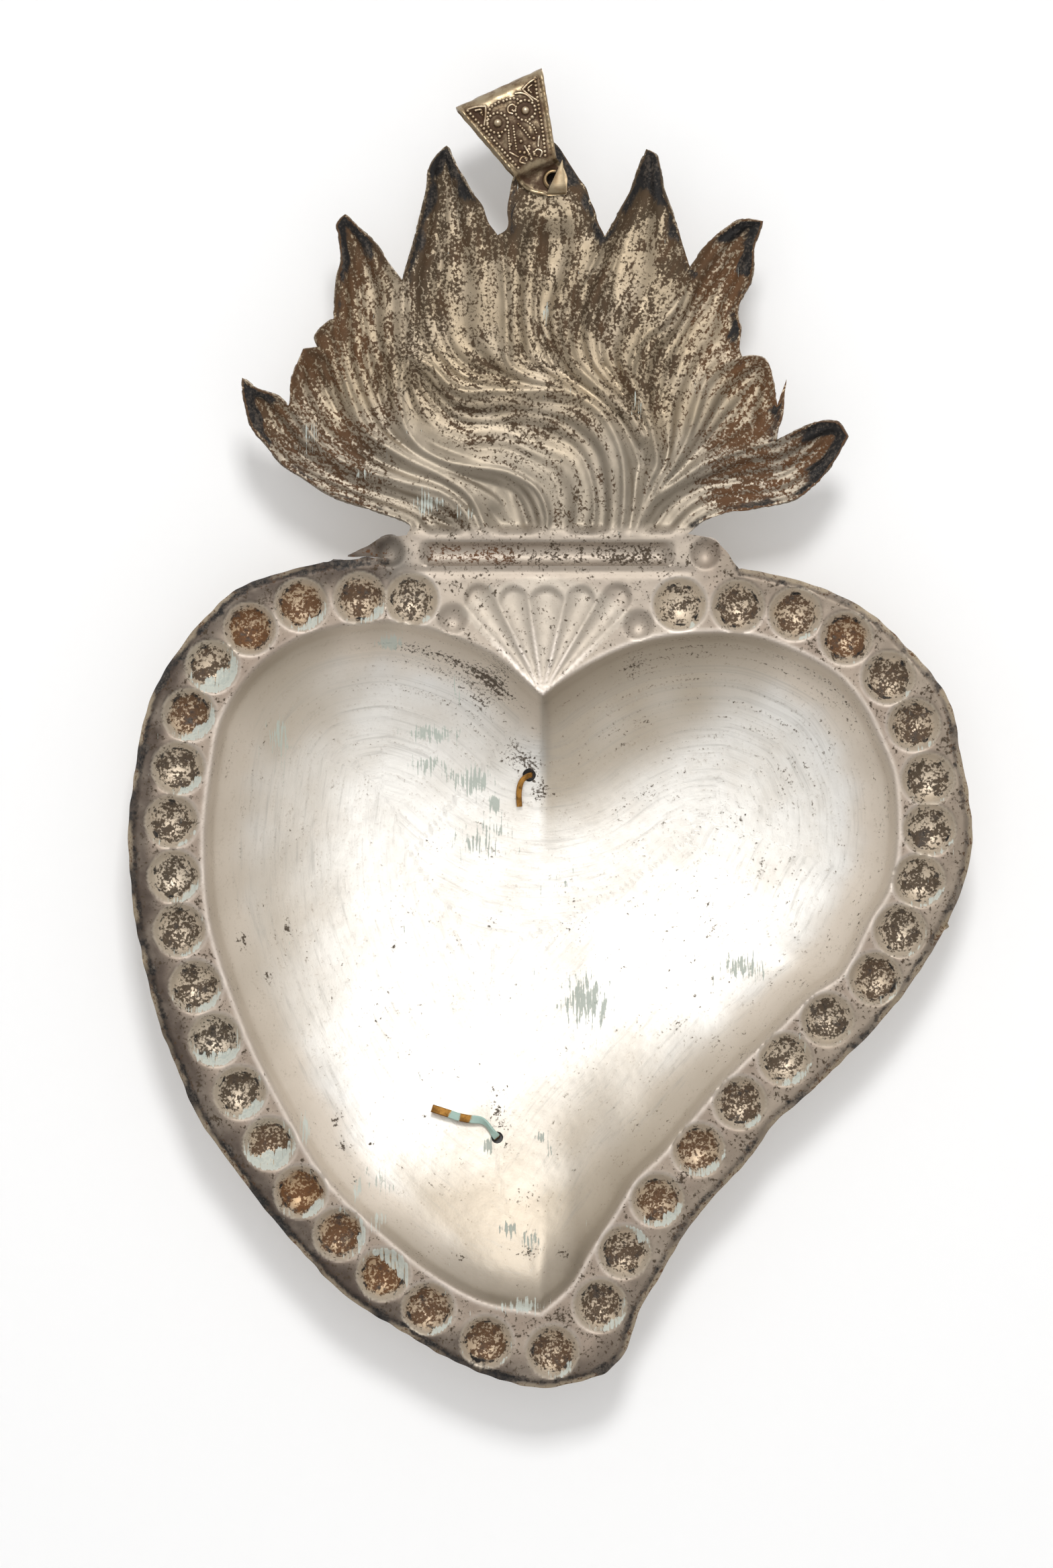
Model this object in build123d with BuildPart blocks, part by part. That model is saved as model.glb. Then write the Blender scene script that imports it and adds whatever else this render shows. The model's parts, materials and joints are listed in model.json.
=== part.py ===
from build123d import *
from math import asin, atan2, cos, degrees, radians, sin, sqrt
import os

os.makedirs("parts", exist_ok=True)

# A votive heart of thin silver sheet, hanging from a folded bail.
# Lengths are in millimetres. X runs to the right and Z up, seen from the hollow back of the
# heart. Y runs from the back to the raised front. The origin is where a nail or ribbon bears
# inside the fold of the bail.

# Silver sheet of the heart
SHEET = 0.6
RIM_TURN = 1.5             # how far the outer edge is turned towards the front
BORDER_WIDTH = 11.0        # from the outer edge to the edge of the dish
DISH_DEPTH = 13.0
DISH_FULLNESS = 2.3        # 2 is an ellipse in section, more is fuller
DISH_LEVELS = (0.0, 0.3, 0.55, 0.75, 0.9, 0.975)  # shares of the depth where its outline is drawn
DISH_EDGE_STEPS = 6        # spans in each half of that outline

# Round bosses of the border, each punched by eye: from the left of the palmette down to the tip of
# the heart and up on the right
BOSS_RADIUS = 3.4          # at the mouth, seen from the back
BOSS_DEPTH = 2.4
BOSS_CENTRES = (
    (-20.2, -4.1), (-27.9, -3.9), (-36.7, -4.8), (-44.3, -8.4), (-50.0, -14.0), (-53.4, -21.2),
    (-55.0, -29.2), (-56.0, -37.1), (-55.6, -45.3), (-54.8, -53.3), (-52.4, -61.7), (-49.5, -69.6),
    (-45.8, -77.5), (-41.4, -85.1), (-36.8, -92.3), (-31.0, -98.6), (-24.5, -104.6), (-17.8, -109.7),
    (-9.1, -114.7), (0.8, -116.1), (7.9, -109.2), (11.5, -101.2), (16.4, -93.5), (22.5, -86.0),
    (28.7, -79.0), (35.4, -72.5), (41.7, -66.6), (48.8, -60.5), (52.5, -53.4), (55.3, -45.9),
    (56.9, -38.3), (56.7, -30.8), (54.6, -22.7), (50.8, -15.7), (44.5, -9.8), (36.9, -6.2),
    (28.4, -5.1), (19.7, -4.8),
)
SMALL_BOSS_RADIUS = 1.9
SMALL_BOSS_DEPTH = 1.1
SMALL_BOSS_CENTRES = ((-14.1, -7.0), (13.6, -7.9))

# Outer edge of the heart, from the left of the collar down to the tip and up to the right
LEFT_EDGE = (
    (-19.5, 1.9), (-38.9, 0.2), (-55.3, -12.1), (-62.5, -39.0),
    (-56.6, -70.2), (-38.5, -98.8), (-12.4, -118.4), (0.7, -121.5),
)
TIP_ROUND = (8.3, -119.5)
RIGHT_EDGE = (
    (11.5, -116.4), (18.6, -101.8), (37.1, -79.3), (56.5, -57.9),
    (63.4, -37.3), (57.5, -15.4), (41.2, -2.4), (19.5, 1.9),
)
INSET_STEPS = 32           # places at which a line inside the outer edge is measured
CLEFT = (-0.7, -18.4)
DISH_CENTRE = (0.5, -46.0)

# Palmette in the cleft
PALMETTE_FOOT = (-0.7, -17.2)
PALMETTE_TOP = -2.6
PALMETTE_HALF_WIDTH = 12.6
PALMETTE_FLUTES = 5
PALMETTE_FLUTE_WIDTH = 5.0
PALMETTE_FLUTE_ENDS = (0.2, 0.6)  # half width at the foot and at the top
PALMETTE_FLUTE_DEPTH = 1.3

# Collar moulding between the heart and the flames, with a volute at each end
COLLAR_LENGTH = 37.0
COLLAR_HEIGHT = 3.2
COLLAR_END = 0.6           # half height where the moulding runs out
COLLAR_DEPTH = 1.5
COLLAR_CENTRE = (0.0, 2.7)
VOLUTE_RADIUS = 1.9
VOLUTE_DEPTH = 1.2
VOLUTE_CENTRES = ((-23.4, 3.0), (23.5, 2.6))
LEFT_VOLUTE_EDGE = ((-29.7, 2.3), (-25.5, 5.1), (-20.6, 5.6))
RIGHT_VOLUTE_EDGE = ((21.0, 5.7), (24.5, 4.9), (27.7, 1.4))

# Outline of the flames, left to right: points up the left edge, tip, points down the right edge
# and the valley that follows
FLAMES = (
    (((-31.5, 11.2), (-42.0, 19.2)), (-45.4, 28.9), ((-41.5, 26.7),), (-38.7, 24.7)),
    (((-38.1, 28.2),), (-36.2, 33.3), ((-34.5, 35.2),), (-31.7, 37.7)),
    (((-31.1, 44.2), (-31.2, 50.2)), (-30.1, 53.2), ((-25.5, 48.7),), (-21.5, 43.2)),
    (((-19.3, 51.2), (-17.5, 60.2)), (-15.0, 63.5), ((-11.5, 56.9),), (-7.0, 50.5)),
    (((-5.6, 56.2),), (-0.5, 65.2), ((4.5, 59.0),), (8.5, 50.0)),
    (((11.0, 54.2), (13.7, 60.2)), (14.9, 63.0), ((17.3, 56.7),), (21.2, 45.2)),
    (((24.0, 49.0), (29.0, 52.4)), (32.1, 52.3), ((30.5, 45.2), (28.3, 39.2)), (28.9, 32.0)),
    (((32.0, 31.9), (33.7, 27.6)), (35.6, 28.7), ((35.0, 23.2),), (33.9, 19.4)),
    (((38.5, 21.7),), (43.3, 22.2), ((44.7, 20.2), (38.5, 11.9), (27.5, 9.0)), (21.0, 5.7)),
)
FLAME_ROOT = (-20.3, 6.9)

# Hollows of the flames, root to tip: the line that each follows, and its half width on the way
FLAME_DEPTH = 1.6
HOLLOW_STEEPNESS = 0.6      # depth of a narrow hollow for its half width
FLAME_HOLLOWS = (
    (((-11.5, 5.4), (-22.5, 11.0), (-36.0, 17.4), (-43.4, 25.6)), (0.7, 1.5, 1.9, 1.7, 0.5)),
    (((-6.5, 5.7), (-14.0, 11.9), (-26.0, 19.3), (-35.0, 31.4)), (0.7, 1.4, 2.2, 2.4, 0.6)),
    (((-2.5, 6.2), (-13.5, 16.0), (-25.0, 27.0), (-29.6, 50.0)), (0.7, 1.8, 3.2, 3.8, 0.7)),
    (((6.5, 5.6), (4.5, 18.2), (-9.5, 22.4), (-20.0, 29.4)), (1.0, 3.0, 3.2, 2.6, 0.6)),
    (((4.5, 26.0), (-11.0, 30.7), (-16.0, 42.2), (-15.2, 60.4)), (0.8, 2.8, 5.2, 4.6, 0.6)),
    (((13.0, 6.2), (10.5, 20.2), (0.6, 32.5), (-0.6, 49.5)), (0.8, 2.0, 2.8, 3.8, 1.0)),
    (((15.8, 18.2), (10.4, 32.2), (11.6, 46.2), (14.6, 60.4)), (0.8, 2.2, 3.7, 3.7, 0.6)),
    (((17.0, 15.2), (18.0, 28.2), (24.0, 41.2), (30.9, 50.4)), (0.8, 2.6, 3.8, 3.4, 0.7)),
    (((19.0, 13.4), (26.0, 21.7), (32.2, 29.2)), (0.7, 1.9, 0.7)),
    (((15.0, 6.4), (21.5, 11.6), (33.0, 14.8), (42.4, 20.2)), (0.7, 2.0, 2.4, 2.2, 0.7)),
)

# Eyelet that joins the bail and the middle flame
EYELET_X = 0.9             # from the middle of the collar
EYELET_RISE = 58.4
EYELET_BORE = 0.95
EYELET_WALL = 0.2
EYELET_FLANGE = 1.6
EYELET_FLANGE_THICKNESS = 0.2
EYELET_SEAT_CLEARANCE = 0.02
RUNNING_CLEARANCE = 0.08

# Bail, measured from the eyelet along its own leaning axis
BAIL_TILT = 24.6           # lean to the left, in degrees
BAIL_SHEET = 0.5
BAIL_REACH = 15.8          # eyelet to the outside of the fold
BAIL_SHIFT = -1.7          # middle of the strip from the eyelet
BAIL_TOP_WIDTH = 14.2
BAIL_LOW_WIDTH = 6.8
BAIL_LOW = 2.7             # where the taper ends above the eyelet
BAIL_LOBE = 2.1            # metal to the right of the eyelet
BAIL_LIP = ((-4.3, 0.3), (-2.0, -1.7))
BAIL_FOOT = (0.8, -2.8)
LOOP_GAP = 4.8             # between the two leaves
LEAF_CLEARANCE = 0.12      # between a leaf and the flame
STEP_START = 2.0           # where each leaf steps away from the flame
STEP_END = 3.0
STEP_BEND = 0.5
FOLD_BEND = 1.7
EAR_SHEET = 0.4
EAR_TIP = (2.4, 2.1)
EAR_CLEARANCE = 0.15

# Filigree of the bail, measured from the middle line of the strip
EDGE_WIRE = 0.35
EDGE_WIRE_INSET = 0.85
EDGE_WIRE_LOW = 3.5
EDGE_WIRE_TOP = 13.6
SCROLL_OFFSET = 2.3
SCROLL_RISE = 10.9
SCROLL_RADIUS = 1.4
SCROLL_WIRE = 0.3
GRAIN_RADIUS = 0.75
FRAME_WIRE = 0.2
FRAME_CORNERS = ((4.95, 13.4), (2.7, 13.45), (4.35, 11.5))
STEM_WIRE = 0.3
STEM_TOP = (0.75, 9.0)
STEM_FOOT = (1.0, 5.6)
ROSETTE_RISE = 4.6
ROSETTE_RADIUS = 0.7
ROSETTE_GRAIN = 0.35
ROSETTE_COUNT = 6

# Brass strips and the plaque that they hold on the front
TAB_WIDTH = 1.1
TAB_SHEET = 0.4
TAB_BEND = 0.7
TAB_STAND = 0.35           # from the dish to the underside of the bent run, where they are nearest
TAB_HOLE = 1.1
UPPER_HOLE = (-2.7, -30.2)
UPPER_RUN = 4.2
UPPER_RUN_ANGLE = -110.0   # direction of the bent run, degrees from X
LOWER_HOLE = (-7.5, -84.7)
LOWER_RUN = 10.2
LOWER_RUN_ANGLE = 157.0
PLAQUE_SHEET = 0.8
PLAQUE_CLEARANCE = 0.15
PLAQUE_WIDTH = 36.0
PLAQUE_MARGIN = 5.0        # past each hole

# The eyelet stands where the leaning bail puts it below the origin
tilt = radians(BAIL_TILT)
fold_inside = BAIL_REACH - BAIL_SHEET
eyelet_x = fold_inside * sin(tilt) - BAIL_SHIFT * cos(tilt)
eyelet_z = -fold_inside * cos(tilt) - BAIL_SHIFT * sin(tilt)

# Back face of the silver sheet. Its own x is X, its own y is Z, and it faces the back
sheet = Plane(
    origin=(eyelet_x - EYELET_X, -SHEET / 2, eyelet_z - EYELET_RISE),
    x_dir=(1, 0, 0),
    z_dir=(0, -1, 0),
)
# Middle plane of the sheet at the eyelet, turned with the bail
bail = Plane(
    origin=(eyelet_x, 0, eyelet_z),
    x_dir=(cos(tilt), 0, sin(tilt)),
    z_dir=(0, -1, 0),
)

# Outer edge of the heart, in the plane of the sheet
with BuildLine() as heart_edge:
    Spline(*LEFT_EDGE)
    ThreePointArc(LEFT_EDGE[-1], TIP_ROUND, RIGHT_EDGE[0])
    Spline(*RIGHT_EDGE)
edge_wire = heart_edge.wire()
left_share = heart_edge.edges()[0].length / edge_wire.length


def inset(share, distance):
    """Point at a share of the outer edge's length, moved inwards by a distance."""
    along = edge_wire.tangent_at(share)
    return edge_wire.position_at(share) + Vector(-along.Y, along.X) * distance


def inset_line(distance):
    """Points of a line that keeps this distance inside the outer edge."""
    return [inset(step / INSET_STEPS, distance) for step in range(INSET_STEPS + 1)]


def sheet_point(point, depth=0):
    """Place in space of a point of the sheet, a depth in front of its back face."""
    return sheet.from_local_coords(Vector(point.X, point.Y, -depth))


def dish_edge(size, growth):
    """Left and right halves of the dish's outline, shrunk to a size about its middle."""
    centre = Vector(*DISH_CENTRE)
    cleft = Vector(*CLEFT)
    shares = [step / DISH_EDGE_STEPS for step in range(DISH_EDGE_STEPS + 1)]
    left = [inset(left_share * share, BORDER_WIDTH) for share in shares]
    right = [inset(left_share + (1 - left_share) * share, BORDER_WIDTH) for share in shares[1:]]
    lobe_top = (left[0].Y + right[-1].Y) / 2
    cleft += Vector(0, (lobe_top - cleft.Y) * (1 - size))

    def shrink(point):
        arm = point - centre
        return centre + arm * size + arm.normalized() * growth

    left_half = [shrink(point) for point in [cleft] + left]
    right_half = [shrink(point) for point in left[-1:] + right + [cleft]]
    return left_half, right_half


def dish_body(growth):
    """Solid that fills the dish, grown outwards by a wall."""
    with BuildPart() as body:
        for level in DISH_LEVELS:
            size = (1 - level**DISH_FULLNESS) ** (1 / DISH_FULLNESS)
            left_half, right_half = dish_edge(size, growth)
            with BuildSketch(sheet.offset(-level / DISH_LEVELS[-1] * (DISH_DEPTH + growth))):
                with BuildLine():
                    Spline(*left_half)
                    Spline(*right_half)
                make_face()
        loft()
    return body.part


def hollow(line, half_widths, depth, wall, level):
    """Solid that fills a tapering gutter along a line of the sheet, grown by a wall.

    Each section is a round segment, cut off at a level above the back of the sheet.
    """
    with BuildLine():
        spine = Spline(*line)
    last = len(half_widths) - 1
    with BuildPart() as body:
        for index, half_width in enumerate(half_widths):
            along = spine % (index / last)
            section = Plane(
                origin=sheet_point(spine @ (index / last)),
                x_dir=(along.Y, 0, -along.X),
                z_dir=(along.X, 0, along.Y),
            )
            reach = half_width + wall
            drop = min(depth, half_width * HOLLOW_STEEPNESS) + wall
            round_radius = (reach**2 + drop**2) / (2 * drop)
            half_chord = sqrt(round_radius**2 - (level - drop + round_radius) ** 2)
            with BuildSketch(section):
                with BuildLine():
                    ThreePointArc((-half_chord, level), (0, drop), (half_chord, level))
                    Line((half_chord, level), (-half_chord, level))
                make_face()
        loft()
    return body.part


# Bosses and volutes, by size
boss_groups = (
    (BOSS_CENTRES, BOSS_RADIUS, BOSS_DEPTH),
    (SMALL_BOSS_CENTRES, SMALL_BOSS_RADIUS, SMALL_BOSS_DEPTH),
    (VOLUTE_CENTRES, VOLUTE_RADIUS, VOLUTE_DEPTH),
)


def bosses(wall, mode):
    """Round caps of all bosses and volutes, each part of a ball, grown by a wall."""
    for centres, radius, depth in boss_groups:
        ball = (radius**2 + depth**2) / (2 * depth)
        latitude = degrees(asin((depth - ball) / (ball + wall)))
        ball_places = [sheet_point(Vector(*centre), depth - ball) for centre in centres]
        with Locations(*[Location(place, (90, 0, 0)) for place in ball_places]):
            Sphere(ball + wall, arc_size1=-90, arc_size2=latitude, align=None, mode=mode)


# Lines and half widths of the palmette's flutes and of the collar
flute_lines = []
for index in range(PALMETTE_FLUTES):
    spread = (2 * index + 1) / PALMETTE_FLUTES - 1
    flute_top = (PALMETTE_FOOT[0] + spread * (PALMETTE_HALF_WIDTH - PALMETTE_FLUTE_WIDTH / 2), PALMETTE_TOP)
    flute_middle = tuple((foot + top) / 2 for foot, top in zip(PALMETTE_FOOT, flute_top))
    flute_lines.append((PALMETTE_FOOT, flute_middle, flute_top))
flute_half_widths = (
    PALMETTE_FLUTE_ENDS[0],
    PALMETTE_FLUTE_WIDTH / 4,
    PALMETTE_FLUTE_WIDTH / 2,
    PALMETTE_FLUTE_ENDS[1],
)

collar_line = tuple((COLLAR_CENTRE[0] + side * COLLAR_LENGTH / 2, COLLAR_CENTRE[1]) for side in (-1, 0, 1))
collar_half_widths = (COLLAR_END, COLLAR_HEIGHT / 2, COLLAR_HEIGHT / 2, COLLAR_HEIGHT / 2, COLLAR_END)


def relief(wall, level):
    """The long forms raised on the sheet, grown by a wall and starting at a level above its back."""
    forms = []
    for line, half_widths in FLAME_HOLLOWS:
        forms.append(hollow(line, half_widths, FLAME_DEPTH, wall, level))
    for line in flute_lines:
        forms.append(hollow(line, flute_half_widths, PALMETTE_FLUTE_DEPTH, wall, level))
    forms.append(hollow(collar_line, collar_half_widths, COLLAR_DEPTH, wall, level))
    return forms


dish_inside = dish_body(0)


def dish_floor(place):
    """Depth of the dish at a place of the sheet, from the back of the sheet."""
    sight = Axis(sheet_point(Vector(*place)), (0, 1, 0))
    hits = [hit for face in dish_inside.faces() for hit, normal in face.find_intersection_points(sight)]
    return max(hit.Y for hit in hits) + SHEET / 2


# Heart: one sheet with the dish, bosses, palmette, collar and flames raised towards the front
with BuildPart() as heart_plate:
    with BuildSketch(sheet):
        add(heart_edge.line)
        with BuildLine():
            Line(RIGHT_EDGE[-1], LEFT_EDGE[0])
        make_face()
        with BuildLine():
            Spline(*LEFT_VOLUTE_EDGE)
            Line(LEFT_VOLUTE_EDGE[-1], FLAME_ROOT)
            start = FLAME_ROOT
            for left_points, tip, right_points, valley in FLAMES:
                Spline(start, *left_points, tip)
                Spline(tip, *right_points, valley)
                start = valley
            Spline(*RIGHT_VOLUTE_EDGE)
            Polyline(
                RIGHT_VOLUTE_EDGE[-1],
                (RIGHT_VOLUTE_EDGE[-1][0], 0),
                (LEFT_VOLUTE_EDGE[0][0], 0),
                LEFT_VOLUTE_EDGE[0],
            )
        make_face()
    extrude(amount=-SHEET)
    # Outer edge turned towards the front, open at the collar
    with BuildSketch(sheet):
        add(heart_edge.line)
        with BuildLine():
            Line(RIGHT_EDGE[-1], LEFT_EDGE[0])
        make_face()
        with BuildLine():
            rim_inside = Spline(*inset_line(SHEET))
            Line(rim_inside @ 1, rim_inside @ 0)
        make_face(mode=Mode.SUBTRACT)
        with Locations(((LEFT_VOLUTE_EDGE[0][0] + RIGHT_VOLUTE_EDGE[-1][0]) / 2, 0)):
            Rectangle(RIGHT_VOLUTE_EDGE[-1][0] - LEFT_VOLUTE_EDGE[0][0], BORDER_WIDTH, mode=Mode.SUBTRACT)
    extrude(amount=-RIM_TURN - SHEET)
    add([dish_body(SHEET)] + relief(SHEET, SHEET / 2))
    bosses(SHEET, Mode.ADD)
    add([dish_inside] + relief(0, -SHEET / 4), mode=Mode.SUBTRACT)
    bosses(0, Mode.SUBTRACT)
    # Holes for the eyelet and for the two brass strips
    with BuildSketch(sheet):
        with Locations((EYELET_X, EYELET_RISE)):
            Circle(EYELET_BORE + EYELET_WALL + EYELET_SEAT_CLEARANCE)
        with Locations(UPPER_HOLE, LOWER_HOLE):
            Circle(TAB_HOLE)
    extrude(amount=-2 * DISH_DEPTH, mode=Mode.SUBTRACT)
heart_plate.part.label = "heart_plate"
export_step(heart_plate.part, "parts/heart_plate.step")

# Plaque: an oval sheet that lies on the front of the dish, over both holes
hole_line = Vector(*UPPER_HOLE) - Vector(*LOWER_HOLE)
plaque_middle = (Vector(*UPPER_HOLE) + Vector(*LOWER_HOLE)) / 2
plaque_lean = degrees(atan2(hole_line.Y, hole_line.X))
with BuildPart() as front_plaque:
    add(dish_body(SHEET + PLAQUE_CLEARANCE + PLAQUE_SHEET))
    add(dish_body(SHEET + PLAQUE_CLEARANCE), mode=Mode.SUBTRACT)
    with BuildSketch(sheet):
        with Locations(Location((plaque_middle.X, plaque_middle.Y), plaque_lean)):
            Ellipse(hole_line.length / 2 + PLAQUE_MARGIN, PLAQUE_WIDTH / 2)
    extrude(amount=-2 * DISH_DEPTH, mode=Mode.INTERSECT)
front_plaque.part.label = "front_plaque"
export_step(front_plaque.part, "parts/front_plaque.step")

# Brass strips: soldered to the plaque, through the dish and bent over behind it
tabs = (
    ("upper_tab", UPPER_HOLE, UPPER_RUN, UPPER_RUN_ANGLE),
    ("lower_tab", LOWER_HOLE, LOWER_RUN, LOWER_RUN_ANGLE),
)
for name, place, run, run_angle in tabs:
    across, up = cos(radians(run_angle)), sin(radians(run_angle))
    heading = Vector(across, 0, up)
    floor = dish_floor(place)
    floor_rise = floor - dish_floor((place[0] + run * across, place[1] + run * up))
    strip_side = Plane(
        origin=sheet_point(Vector(*place), floor),
        x_dir=heading,
        z_dir=heading.cross(Vector(0, -1, 0)),
    )
    root = -SHEET - PLAQUE_CLEARANCE - PLAQUE_SHEET / 2
    stand = max(0, floor_rise) + TAB_STAND + TAB_SHEET / 2
    with BuildPart() as tab:
        with BuildSketch(strip_side):
            with BuildLine():
                FilletPolyline((0, root), (0, stand), (run, stand), radius=TAB_BEND)
            trace(line_width=TAB_SHEET)
        extrude(amount=TAB_WIDTH / 2, both=True)
        add(front_plaque.part, mode=Mode.SUBTRACT)
    tab.part.label = name
    export_step(tab.part, f"parts/{name}.step")

# Eyelet: a tube through the middle flame and both leaves of the bail, with a flange at each end
leaf_outside = SHEET / 2 + LEAF_CLEARANCE + BAIL_SHEET
flange_inside = leaf_outside + RUNNING_CLEARANCE
flange_outside = flange_inside + EYELET_FLANGE_THICKNESS
tube_radius = EYELET_BORE + EYELET_WALL
with BuildPart(bail) as hanging_eyelet:
    Cylinder(tube_radius, 2 * flange_outside)
    with Locations((0, 0, flange_inside), (0, 0, -flange_outside)):
        Cylinder(EYELET_FLANGE, EYELET_FLANGE_THICKNESS, align=(Align.CENTER, Align.CENTER, Align.MIN))
    Hole(EYELET_BORE)
hanging_eyelet.part.label = "hanging_eyelet"
export_step(hanging_eyelet.part, "parts/hanging_eyelet.step")

# Bail: a tapered strip folded over at the top, stepped in to the flame at its two eyes
leaf_middle = leaf_outside - BAIL_SHEET / 2
panel_middle = LOOP_GAP / 2 + BAIL_SHEET / 2
fold_middle = BAIL_REACH - BAIL_SHEET / 2
strip_half_top = BAIL_TOP_WIDTH / 2
strip_half_low = BAIL_LOW_WIDTH / 2
leaf_foot = BAIL_FOOT[1] - BAIL_SHEET
ear_inside = flange_outside + EAR_CLEARANCE
with BuildPart() as bail_strip:
    with BuildSketch(Plane(origin=bail.origin, x_dir=bail.y_dir, z_dir=-bail.x_dir)):
        with BuildLine():
            FilletPolyline(
                (leaf_foot, -leaf_middle),
                (STEP_START, -leaf_middle),
                (STEP_END, -panel_middle),
                (fold_middle, -panel_middle),
                (fold_middle, panel_middle),
                (STEP_END, panel_middle),
                (STEP_START, leaf_middle),
                (leaf_foot, leaf_middle),
                radius=(STEP_BEND, STEP_BEND, FOLD_BEND, FOLD_BEND, STEP_BEND, STEP_BEND),
            )
        trace(line_width=BAIL_SHEET)
    extrude(amount=BAIL_TOP_WIDTH, both=True)
    with BuildSketch(bail.offset(BAIL_REACH)):
        with BuildLine():
            Polyline(
                BAIL_FOOT,
                (BAIL_LOBE, 0),
                (BAIL_SHIFT + strip_half_low, BAIL_LOW),
                (BAIL_SHIFT + strip_half_top, BAIL_REACH),
                (BAIL_SHIFT + strip_half_top, BAIL_REACH + BAIL_SHEET),
                (BAIL_SHIFT - strip_half_top, BAIL_REACH + BAIL_SHEET),
                (BAIL_SHIFT - strip_half_top, BAIL_REACH),
                (BAIL_SHIFT - strip_half_low, BAIL_LOW),
            )
            ThreePointArc((BAIL_SHIFT - strip_half_low, BAIL_LOW), *BAIL_LIP)
            Line(BAIL_LIP[-1], BAIL_FOOT)
        make_face()
        Circle(tube_radius + RUNNING_CLEARANCE, mode=Mode.SUBTRACT)
    extrude(amount=-2 * BAIL_REACH, mode=Mode.INTERSECT)
    # Ear: the pointed foot of the near leaf, folded up over the eyelet
    with BuildSketch(bail.offset(ear_inside)):
        with BuildLine():
            Polyline(BAIL_LIP[-1], BAIL_FOOT, EAR_TIP, close=True)
        make_face()
    extrude(amount=EAR_SHEET)
    foot_line = Vector(*BAIL_FOOT) - Vector(*BAIL_LIP[-1])
    foot_inward = Vector(-foot_line.Y, foot_line.X).normalized() * EAR_SHEET
    with BuildSketch(bail.offset(leaf_middle)):
        with BuildLine():
            Polyline(
                BAIL_LIP[-1],
                BAIL_FOOT,
                Vector(*BAIL_FOOT) + foot_inward,
                Vector(*BAIL_LIP[-1]) + foot_inward,
                close=True,
            )
        make_face()
    extrude(amount=ear_inside + EAR_SHEET - leaf_middle)
bail_strip.part.label = "bail_strip"
export_step(bail_strip.part, "parts/bail_strip.step")

# Filigree on the outer face of the near leaf, repeated on the far leaf
panel = bail.offset(LOOP_GAP / 2 + BAIL_SHEET)


def strip_half_width(rise):
    """Half width of the bail's strip at a height above the eyelet."""
    return strip_half_low + (strip_half_top - strip_half_low) * (rise - BAIL_LOW) / (BAIL_REACH - BAIL_LOW)


def panel_point(place):
    """Place in space of a point of the panel, given from the strip's middle line."""
    return panel.from_local_coords(Vector(BAIL_SHIFT + place[0], place[1], 0))


def wire_run(start, end, radius):
    """Half-round wire soldered flat on the panel, between two places of it."""
    along = panel_point(end) - panel_point(start)
    section = Plane(origin=panel_point(start), x_dir=panel.z_dir.cross(along), z_dir=along)
    with BuildPart() as run:
        with BuildSketch(section):
            with BuildLine():
                ThreePointArc((-radius, 0), (0, radius), (radius, 0))
                Line((radius, 0), (-radius, 0))
            make_face()
        extrude(amount=along.length)
    return run.part


for hand, side in (("left", -1), ("right", 1)):
    wire_low = side * (strip_half_width(EDGE_WIRE_LOW) - EDGE_WIRE_INSET)
    wire_top = side * (strip_half_width(EDGE_WIRE_TOP) - EDGE_WIRE_INSET)
    with BuildPart() as edge_wire_pair:
        add(wire_run((wire_low, EDGE_WIRE_LOW), (wire_top, EDGE_WIRE_TOP), EDGE_WIRE))
        mirror(about=Plane.XZ)
    edge_wire_pair.part.label = f"bail_{hand}_edge_wire"
    export_step(edge_wire_pair.part, f"parts/bail_{hand}_edge_wire.step")

    with BuildPart(panel) as scroll_pair:
        with Locations((BAIL_SHIFT + side * SCROLL_OFFSET, SCROLL_RISE)):
            Torus(SCROLL_RADIUS, SCROLL_WIRE)
        split(bisect_by=panel, keep=Keep.TOP)
        mirror(about=Plane.XZ)
    scroll_pair.part.label = f"bail_{hand}_scroll"
    export_step(scroll_pair.part, f"parts/bail_{hand}_scroll.step")

    corners = [(side * across, rise) for across, rise in FRAME_CORNERS]
    with BuildPart() as frame_pair:
        for start, end in zip(corners, corners[1:] + corners[:1]):
            add(wire_run(start, end, FRAME_WIRE))
        with Locations(*[panel_point(corner) for corner in corners]):
            Sphere(FRAME_WIRE)
        split(bisect_by=panel, keep=Keep.TOP)
        mirror(about=Plane.XZ)
    frame_pair.part.label = f"bail_{hand}_corner_frame"
    export_step(frame_pair.part, f"parts/bail_{hand}_corner_frame.step")

with BuildPart() as bail_stems:
    for side in (-1, 1):
        add(wire_run((side * STEM_TOP[0], STEM_TOP[1]), (side * STEM_FOOT[0], STEM_FOOT[1]), STEM_WIRE))
    mirror(about=Plane.XZ)
bail_stems.part.label = "bail_stems"
export_step(bail_stems.part, "parts/bail_stems.step")

# Grains: one in each scroll, and a rosette of small ones near the foot
with BuildPart(panel) as bail_grains:
    with Locations(*[(BAIL_SHIFT + side * SCROLL_OFFSET, SCROLL_RISE) for side in (-1, 1)]):
        Sphere(GRAIN_RADIUS)
    with Locations((BAIL_SHIFT, ROSETTE_RISE)):
        Sphere(ROSETTE_GRAIN)
        with PolarLocations(ROSETTE_RADIUS, ROSETTE_COUNT):
            Sphere(ROSETTE_GRAIN)
    split(bisect_by=panel, keep=Keep.TOP)
    mirror(about=Plane.XZ)
bail_grains.part.label = "bail_grains"
export_step(bail_grains.part, "parts/bail_grains.step")
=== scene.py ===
import json
import math

import bpy
import numpy as np
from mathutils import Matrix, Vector
from mathutils.geometry import delaunay_2d_cdt
from mathutils.kdtree import KDTree


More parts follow.
